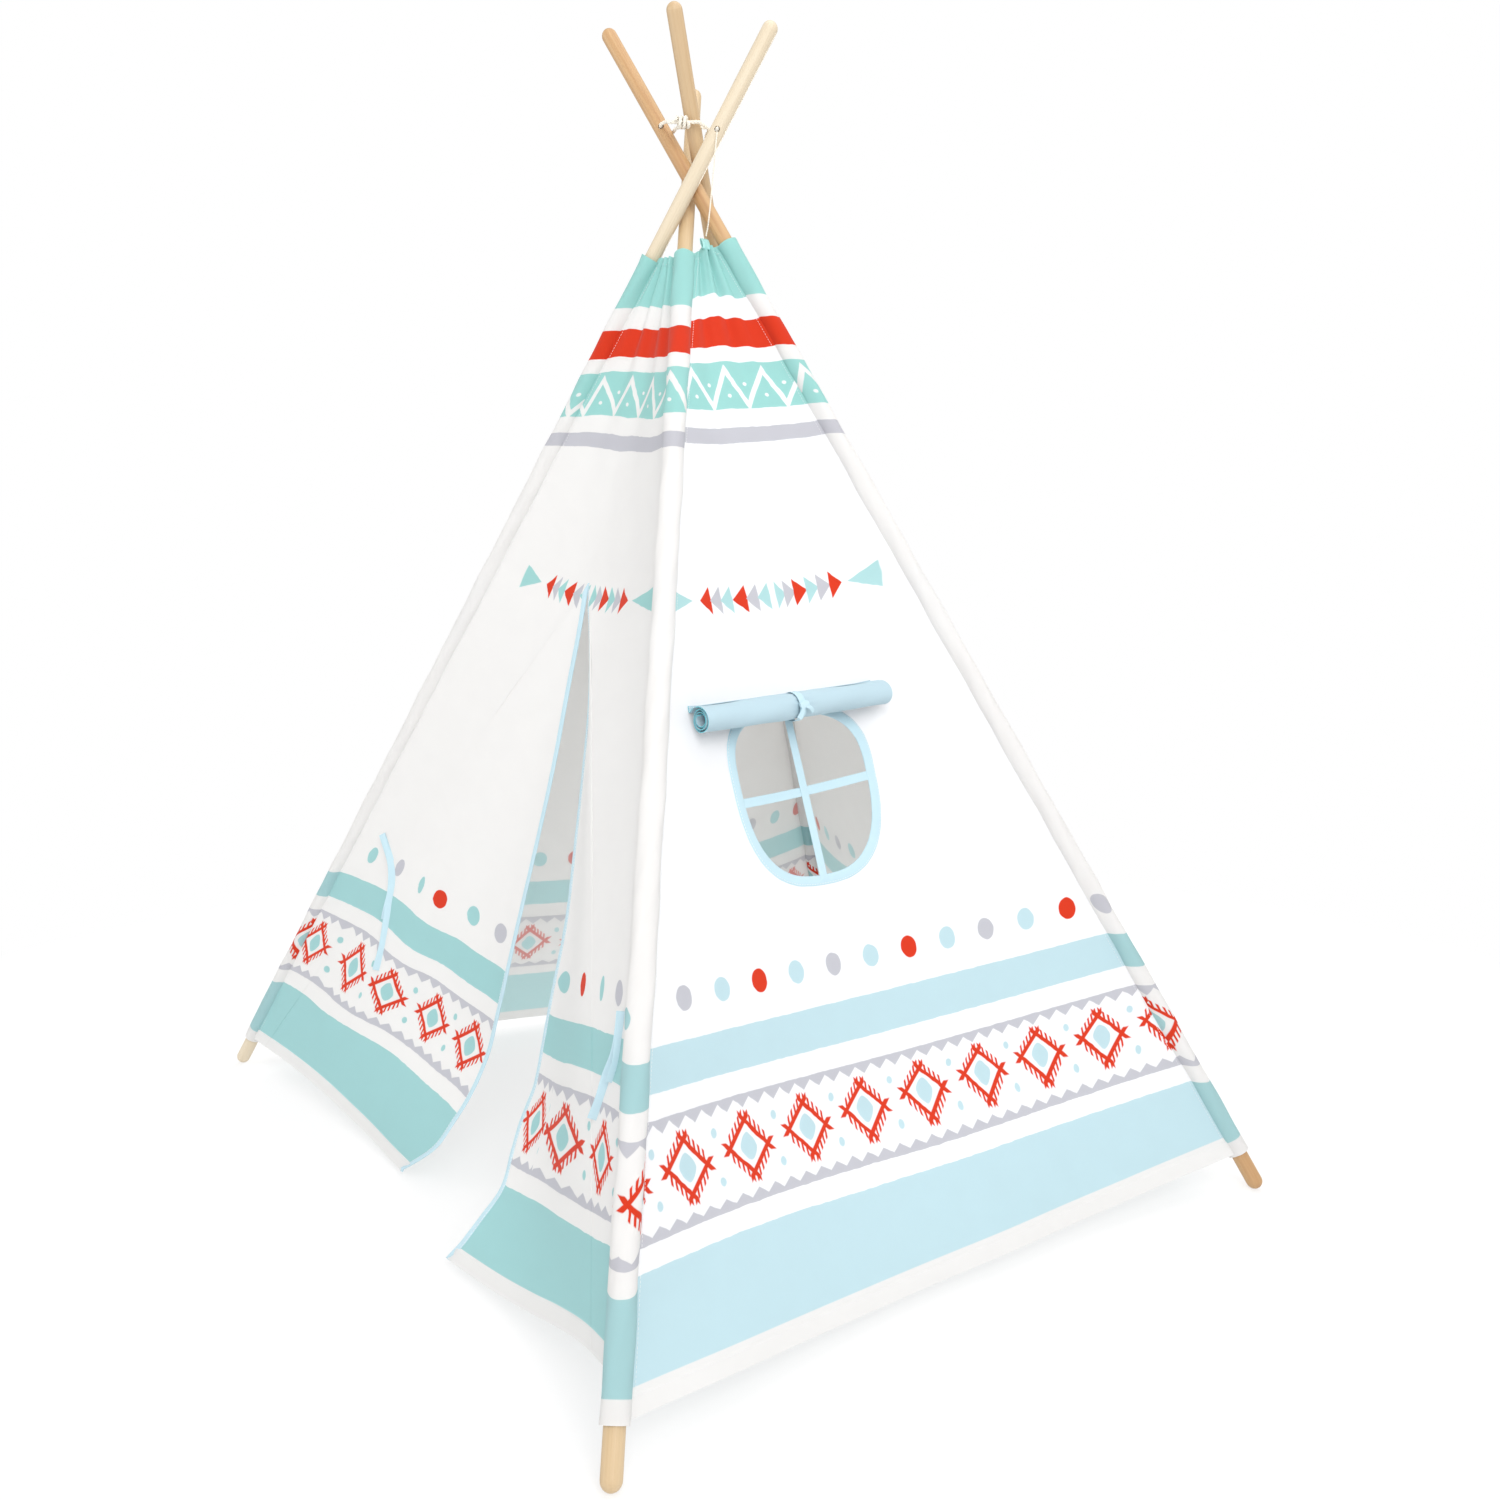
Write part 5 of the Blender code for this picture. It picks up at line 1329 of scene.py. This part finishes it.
def make_sleeves():
    """Cloth channel round each pole: radius 14.3 mm with slow wrinkles, open at both ends."""
    for name in POLES:
        pole = POLE[name]
        rows = np.concatenate([[0.0, 0.002], np.arange(0.010, CANOPY_TOP - CANOPY_HEM - 0.006, 0.009),
                               [CANOPY_TOP - CANOPY_HEM - 0.002, CANOPY_TOP - CANOPY_HEM]])
        s = CANOPY_HEM + rows[:, None]
        count = 48
        angle = np.arange(count) * 2 * math.pi / count
        k = POLES.index(name)
        wrinkle = (0.00045 * np.sin(3 * angle + 31 * s + k) + 0.00035 * np.sin(2 * angle - 57 * s + 2 * k)
                   + 0.0002 * np.sin(5 * angle + 90 * s))
        flare = 0.0007 * smooth((s - CANOPY_TOP + 0.012) / 0.012)
        radius = SLEEVE_RADIUS + wrinkle + flare
        ring = np.cos(angle)[:, None] * pole.side + np.sin(angle)[:, None] * pole.hinge
        points = pole.at(s[:, 0])[:, None] + radius[..., None] * ring[None]
        normals = np.repeat(ring[None], len(rows), axis=0)
        uv = sleeve_uv(pole, s[:, 0], ring)
        piece = shell(f"sleeve_cloth_{name}", points, grid_faces(len(rows), count, True), normals, FABRIC,
                      CLOTHS["sleeve"], uv)
        dress(piece, BODY[name], nodes=[f"sleeve_{name}"])
        declare(np.concatenate([points, points[:, :1]], axis=1))


def roll_frame():
    """Ends of the roll, its axis, the outward and the upward direction across it, and the way down the side."""
    stand = CLOTH / 2 + 0.003 + ROLL_RADIUS
    half = ROLL_LENGTH / 2
    ends = [on_window(ROLL_CENTRE + side * half * ROLL_LEAN, ROLL_SIDEWAYS + side * half, stand, 0.0)
            for side in (-1, 1)]
    along = unit(ends[1] - ends[0])
    down = unit(on_window(ROLL_CENTRE - BLIND_TRAVEL, ROLL_SIDEWAYS, 0.0, 0.0)
                - on_window(ROLL_CENTRE, ROLL_SIDEWAYS, 0.0, 0.0))
    front = unit(np.cross(along, down))
    front = front if front @ WINDOW.out > 0 else -front
    up = unit(np.cross(front, along))
    up = up if up @ down < 0 else -up
    return ends[0], ends[1], along, front, up, down


def make_blind():
    """Rolled blind: a wound sheet r = a + b angle, tied round the middle, with the header it hangs from."""
    left, right, along, front, up, down = roll_frame()
    count, turns = 150, 3.0
    angle = np.linspace(0, 2 * math.pi * turns, count) + math.pi / 2
    share = np.linspace(0, 1, count)
    radius = 0.0065 + (ROLL_RADIUS - 0.0010 - 0.0065) * share
    columns = 110
    x = np.linspace(0, 1, columns)
    pinch = np.exp(-((x - 0.50) / 0.045)**2)
    lump = (0.0008 * np.sin(2 * math.pi * (1.3 * x[:, None] + 0.2) + 2.0 * angle[None, :])
            + 0.0004 * np.sin(2 * math.pi * 3.1 * x[:, None] - 3.0 * angle[None, :]))
    crease = 0.0007 * np.sin(13 * angle[None, :] + 4.0 * x[:, None]) * pinch[:, None]
    r = radius[None, :] * (1 - 0.09 * pinch[:, None]) + (lump + crease) * share[None, :]
    r = np.minimum(r, ROLL_RADIUS + 0.0004)
    wander = 0.0012 * np.sin(angle * 0.7)[None, :]
    place = left + (right - left) * x[:, None, None]
    slide = along * ((x[:, None, None] - 0.5) * 2 * wander[..., None])
    points = place + slide + r[..., None] * (np.cos(angle)[None, :, None] * front + np.sin(angle)[None, :, None] * up)
    normals = np.cos(angle)[None, :, None] * front + np.sin(angle)[None, :, None] * up + 0 * points
    # The rims of the wound sheet, at the roll's ends and along its edges, take the teal painted shade of the shadow
    # lines between its layers.
    piece = shell("rolled_blind", points, grid_faces(columns, count), normals, 0.0012,
                  [BLIND_CLOTH, BLIND_CLOTH, PAINTED_EDGE_SHADE])
    dress(piece, "roll", WINDOW.first, WINDOW, ["blind_roll"])
    declare(points)

    share = np.linspace(0, 1, 60)
    sideways = ROLL_SIDEWAYS + (share - 0.5) * ROLL_LENGTH
    lean = math.radians(115)
    low = left + 0.0201 * (math.cos(lean) * front + math.sin(lean) * up) + (right - left) * share[:, None]
    top = HEADER_TOP + ROLL_LEAN * (sideways - ROLL_SIDEWAYS)
    high, knee = on_window(top, sideways, 0.0019), on_window(top - HEADER_SEAM, sideways, 0.0019)
    ruffle = 0.0006 * np.sin(2 * math.pi * 4.3 * share + 0.8)[:, None] * front
    rows = [high, (high + knee) / 2, knee]
    rows += [knee * (1 - q) + low * q + (front * 0.0032 + ruffle * 2) * q * (1 - q)
             for q in (0.15, 0.3, 0.45, 0.6, 0.8, 1)]
    points = np.array(rows)
    # The header's rims take the same teal painted shade.
    piece = shell("blind_top", points, grid_faces(*points.shape[:2]), grid_normals(points, WINDOW.out), 0.0012,
                  [BLIND_CLOTH, BLIND_CLOTH, PAINTED_EDGE_SHADE])
    dress(piece, "front_pole", WINDOW.first, WINDOW, ["blind_header"])
    declare(points)
    for below in (0.0022, 0.0075):
        line = on_window(top - below, sideways, 0.0019)
        stitch("front_pole", (WINDOW, WINDOW.first), line, np.repeat(WINDOW.out[None], 60, axis=0), lift=0.0008)

    start = left + 0.0180 * up + (right - left) * share[:, None]
    strip = np.array([low - front * 0.0004 - up * 0.0007, low * 0.5 + start * 0.5, start])
    piece = shell("blind_strip", strip, grid_faces(3, 60), grid_normals(strip, WINDOW.out), 0.0008, [BLIND_CLOTH])
    middle = (left + right) / 2
    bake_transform(piece)

    turn = np.linspace(0, 2 * math.pi, 72, endpoint=False)
    ring = np.cos(turn)[:, None] * front + np.sin(turn)[:, None] * up
    middle = middle - along * 0.006
    place = middle + ring * (ROLL_RADIUS + 0.0006)
    band = tape("blind_ribbon", place, np.repeat((along * 0.0055)[None], 72, axis=0), ring, 0.0010, TAPE, closed=True)
    dress(band, "blind", WINDOW.first, WINDOW, ["blind_tie"])
    knot = middle + front * (ROLL_RADIUS + 0.0022) - up * 0.004
    for number, (reach, drop, wide) in enumerate(((-0.010, 0.016, 0.0034), (0.016, 0.010, 0.0032))):
        r = np.linspace(0, 1, 30)[:, None]
        line = knot + along * reach * r + down * drop * r + front * (0.002 * np.sin(3.0 * r) - 0.004 * r**2)
        way = units(np.gradient(line, axis=0))
        lay = units(front + along * 0.35 * np.sin(4 * r + number) + 0 * way)
        across = units(np.cross(way, lay)) * (wide * (0.55 + 0.45 * smooth(r / 0.3)))
        tail = tape(f"blind_ribbon_tail_{number}", line, across, units(np.cross(across, way)), 0.0009, TAPE)
        dress(tail, "blind", WINDOW.first, WINDOW)
    r = np.linspace(0, 1, 18)[:, None]
    loop = knot + along * (0.0075 * np.cos(math.pi * r)) + up * (0.0012 * np.sin(2 * math.pi * r)) + front * 0.0006
    knob = tape("blind_ribbon_knot", loop, units(up + 0 * loop) * 0.0048 * np.sin(math.pi * (0.12 + 0.76 * r)),
                units(front + 0 * loop), 0.0030, TAPE)
    dress(knob, "blind", WINDOW.first, WINDOW)


def make_ties():
    """Ribbons that hold the door halves, sewn at the top: one part on the strip by the pole, one on the half."""
    for left in (True, False):
        line = LEFT_LINE if left else RIGHT_LINE
        pole = DOOR.first if left else DOOR.second
        name = "left" if left else "right"
        knots = LEFT_TIE if left else RIGHT_TIE
        run = np.linspace(knots[-1][0], knots[0][0], 160)
        for number, (aside, wide, short) in enumerate(((0.0, 0.0068, 1.0), (0.009, 0.0040, 0.62))):
            s = run[: int(160 * short)] * SLIT_TOP
            drift = np.linspace(0, 1, len(s))
            swing = aside * drift**1.3 * (-1 if left else 1) + 0.0012 * np.sin(9 * drift + number)
            t = curve_through(knots, s / SLIT_TOP) + swing / DOOR.width(s)
            tau = (t - line.share(s)) / (door_edge_share(s, left) - line.share(s))
            ease = line.ease(s)
            ease = ease + (1 - ease) * smooth(tau)
            stand = 0.0018 + 0.0011 * number + 0.0012 * drift * np.sin(8 * drift + number)**2
            fade = np.where(tau > 0, 1 - smooth(tau), 1.0)
            centre = DOOR.point(s, t, stand - DOOR.folds(s, t) * fade, ease, fine=smooth(tau))
            way = units(np.gradient(centre, axis=0))
            lay = units(np.array([0.80, -0.55, 0.15]) + DOOR.out * (0.25 * np.sin(4 * drift + 2 * number))[:, None])
            across = units(np.cross(way, lay)) * wide
            normal = units(np.cross(across, way))
            normal = normal * np.sign(np.sum(normal * DOOR.out, axis=-1))[:, None]
            past = int(np.argmax(tau > 0)) if (tau > 0).any() else len(s)
            for part, keep, body in (("top", slice(0, past + 1), BODY[pole.name]),
                                     ("end", slice(past, None), f"{name}_door")):
                if len(s[keep]) < 4:
                    continue
                piece = tape(f"door_ribbon_{name}_{number}_{part}", centre[keep], across[keep], normal[keep],
                             0.0009, TAPE)
                dress(piece, body, pole, DOOR, [f"door_tie_{name}"])


def make_tab():
    """Small loop of tape on the middle of the window side's top edge."""
    rise = unit(WINDOW.first.up + WINDOW.second.up)
    foot = WINDOW.point(CANOPY_TOP + 0.004, 0.5)
    turn = np.linspace(-math.pi / 2, 1.5 * math.pi, 40, endpoint=False)
    centre = foot + rise * 0.005 + rise * 0.0085 * np.sin(turn)[:, None] + WINDOW.out * 0.0022 * np.cos(turn)[:, None]
    normal = units(np.sin(turn)[:, None] * rise * 0.4 + np.cos(turn)[:, None] * WINDOW.out)
    piece = tape("top_loop", centre, np.repeat((WINDOW.across * 0.0065)[None], 40, axis=0), normal, 0.0009, TAB_CLOTH,
                 closed=True)
    dress(piece, "front_pole", nodes=["canopy_tab"])


def finish_stitches():
    for number, ((body, key), parts) in enumerate(STITCHES.items()):
        verts, faces, start = [], [], 0
        for v, f in parts:
            verts.append(v)
            faces.append(f + start)
            start += len(v)
        piece = build(f"stitches_{number}", np.vstack(verts), np.vstack(faces), [THREAD], sharp=80)
        face, pole = key
        dress(piece, body, pole, face)


def paint_poles():
    tones = {"left": (linear(216, 202, 178), linear(198, 178, 146), 0.45),
             "front": (linear(206, 181, 144), linear(184, 153, 110), 0.55),
             "right": (linear(198, 161, 116), linear(162, 112, 66), 0.80),
             "back": (linear(200, 173, 136), linear(172, 138, 98), 0.6)}
    for name in POLES:
        pale, dark, streak = tones[name]
        wood = pole_wood(f"{name}_pole_wood", POLE[name], pale, dark, streak)
        for part in ("lower", "upper"):
            node = bpy.data.objects.get(f"pole_{name}_{part}")
            node.material_slots[0].material = wood


def make_studio():
    """Pale floor, white backdrop for the camera and soft light from the front, above and behind."""
    mesh = bpy.data.meshes.new("floor")
    size = 30.0
    corners = [(x * size, y * size, -0.0006) for x, y in ((-1, -1), (1, -1), (1, 1), (-1, 1))]
    mesh.from_pydata(corners, [], [(0, 1, 2, 3)])
    floor = bpy.data.objects.new("floor", mesh)
    bpy.context.scene.collection.objects.link(floor)
    material, tree, shader, output = new_material("floor")
    shader.inputs["Base Color"].default_value = (0.93, 0.93, 0.93, 1.0)
    shader.inputs["Roughness"].default_value = 0.9
    shader.inputs["Specular IOR Level"].default_value = 0.0
    place = tree.nodes.new("ShaderNodeTexCoord")
    far = tree.nodes.new("ShaderNodeVectorMath")
    far.operation = "LENGTH"
    tree.links.new(place.outputs["Object"], far.inputs[0])
    glow = tree.nodes.new("ShaderNodeEmission")
    share = ((Value(tree, far.outputs["Value"]) - 0.8) / 1.1).op("MAXIMUM", 0.65).op("ADD", 0.0, clamp=True)
    mix_shaders(tree, share.socket, shader.outputs[0], glow.outputs[0], output.inputs[0])
    mesh.materials.append(material)

    world = bpy.data.worlds.new("studio")
    bpy.context.scene.world = world
    world.use_nodes = True
    tree = world.node_tree
    back = tree.nodes["Background"]
    back.inputs[0].default_value = (1.0, 1.0, 1.0, 1.0)
    back.inputs[1].default_value = 0.62
    white = tree.nodes.new("ShaderNodeBackground")
    white.inputs[0].default_value = (1.0, 1.0, 1.0, 1.0)
    white.inputs[1].default_value = 1.0
    path = tree.nodes.new("ShaderNodeLightPath")
    mix_shaders(tree, path.outputs["Is Camera Ray"], back.outputs[0], white.outputs[0],
                tree.nodes["World Output"].inputs[0])

    for name, place, size, power in (("key", (3.4, -1.2, 2.8), 2.6, 108.0), ("fill", (-1.5, -3.6, 1.8), 2.6, 34.0),
                                     ("back", (-2.4, 2.4, 0.9), 2.2, 130.0), ("top", (0.4, 0.6, 3.6), 2.4, 28.0)):
        data = bpy.data.lights.new(name, "AREA")
        data.size = size
        data.energy = power
        lamp = bpy.data.objects.new(name, data)
        bpy.context.scene.collection.objects.link(lamp)
        lamp.location = place
        lamp.rotation_euler = (Vector((0, 0, 0.6)) - Vector(place)).to_track_quat("-Z", "Y").to_euler()
    bpy.context.scene.view_settings.view_transform = "Standard"


def main():
    make_camera()
    make_ropes()
    make_studio()
    paint_poles()
    make_sleeves()
    make_plain_sides()
    make_window_side()
    make_window_trim()
    make_door_side()
    make_blind()
    make_ties()
    make_tab()
    finish_stitches()


main()
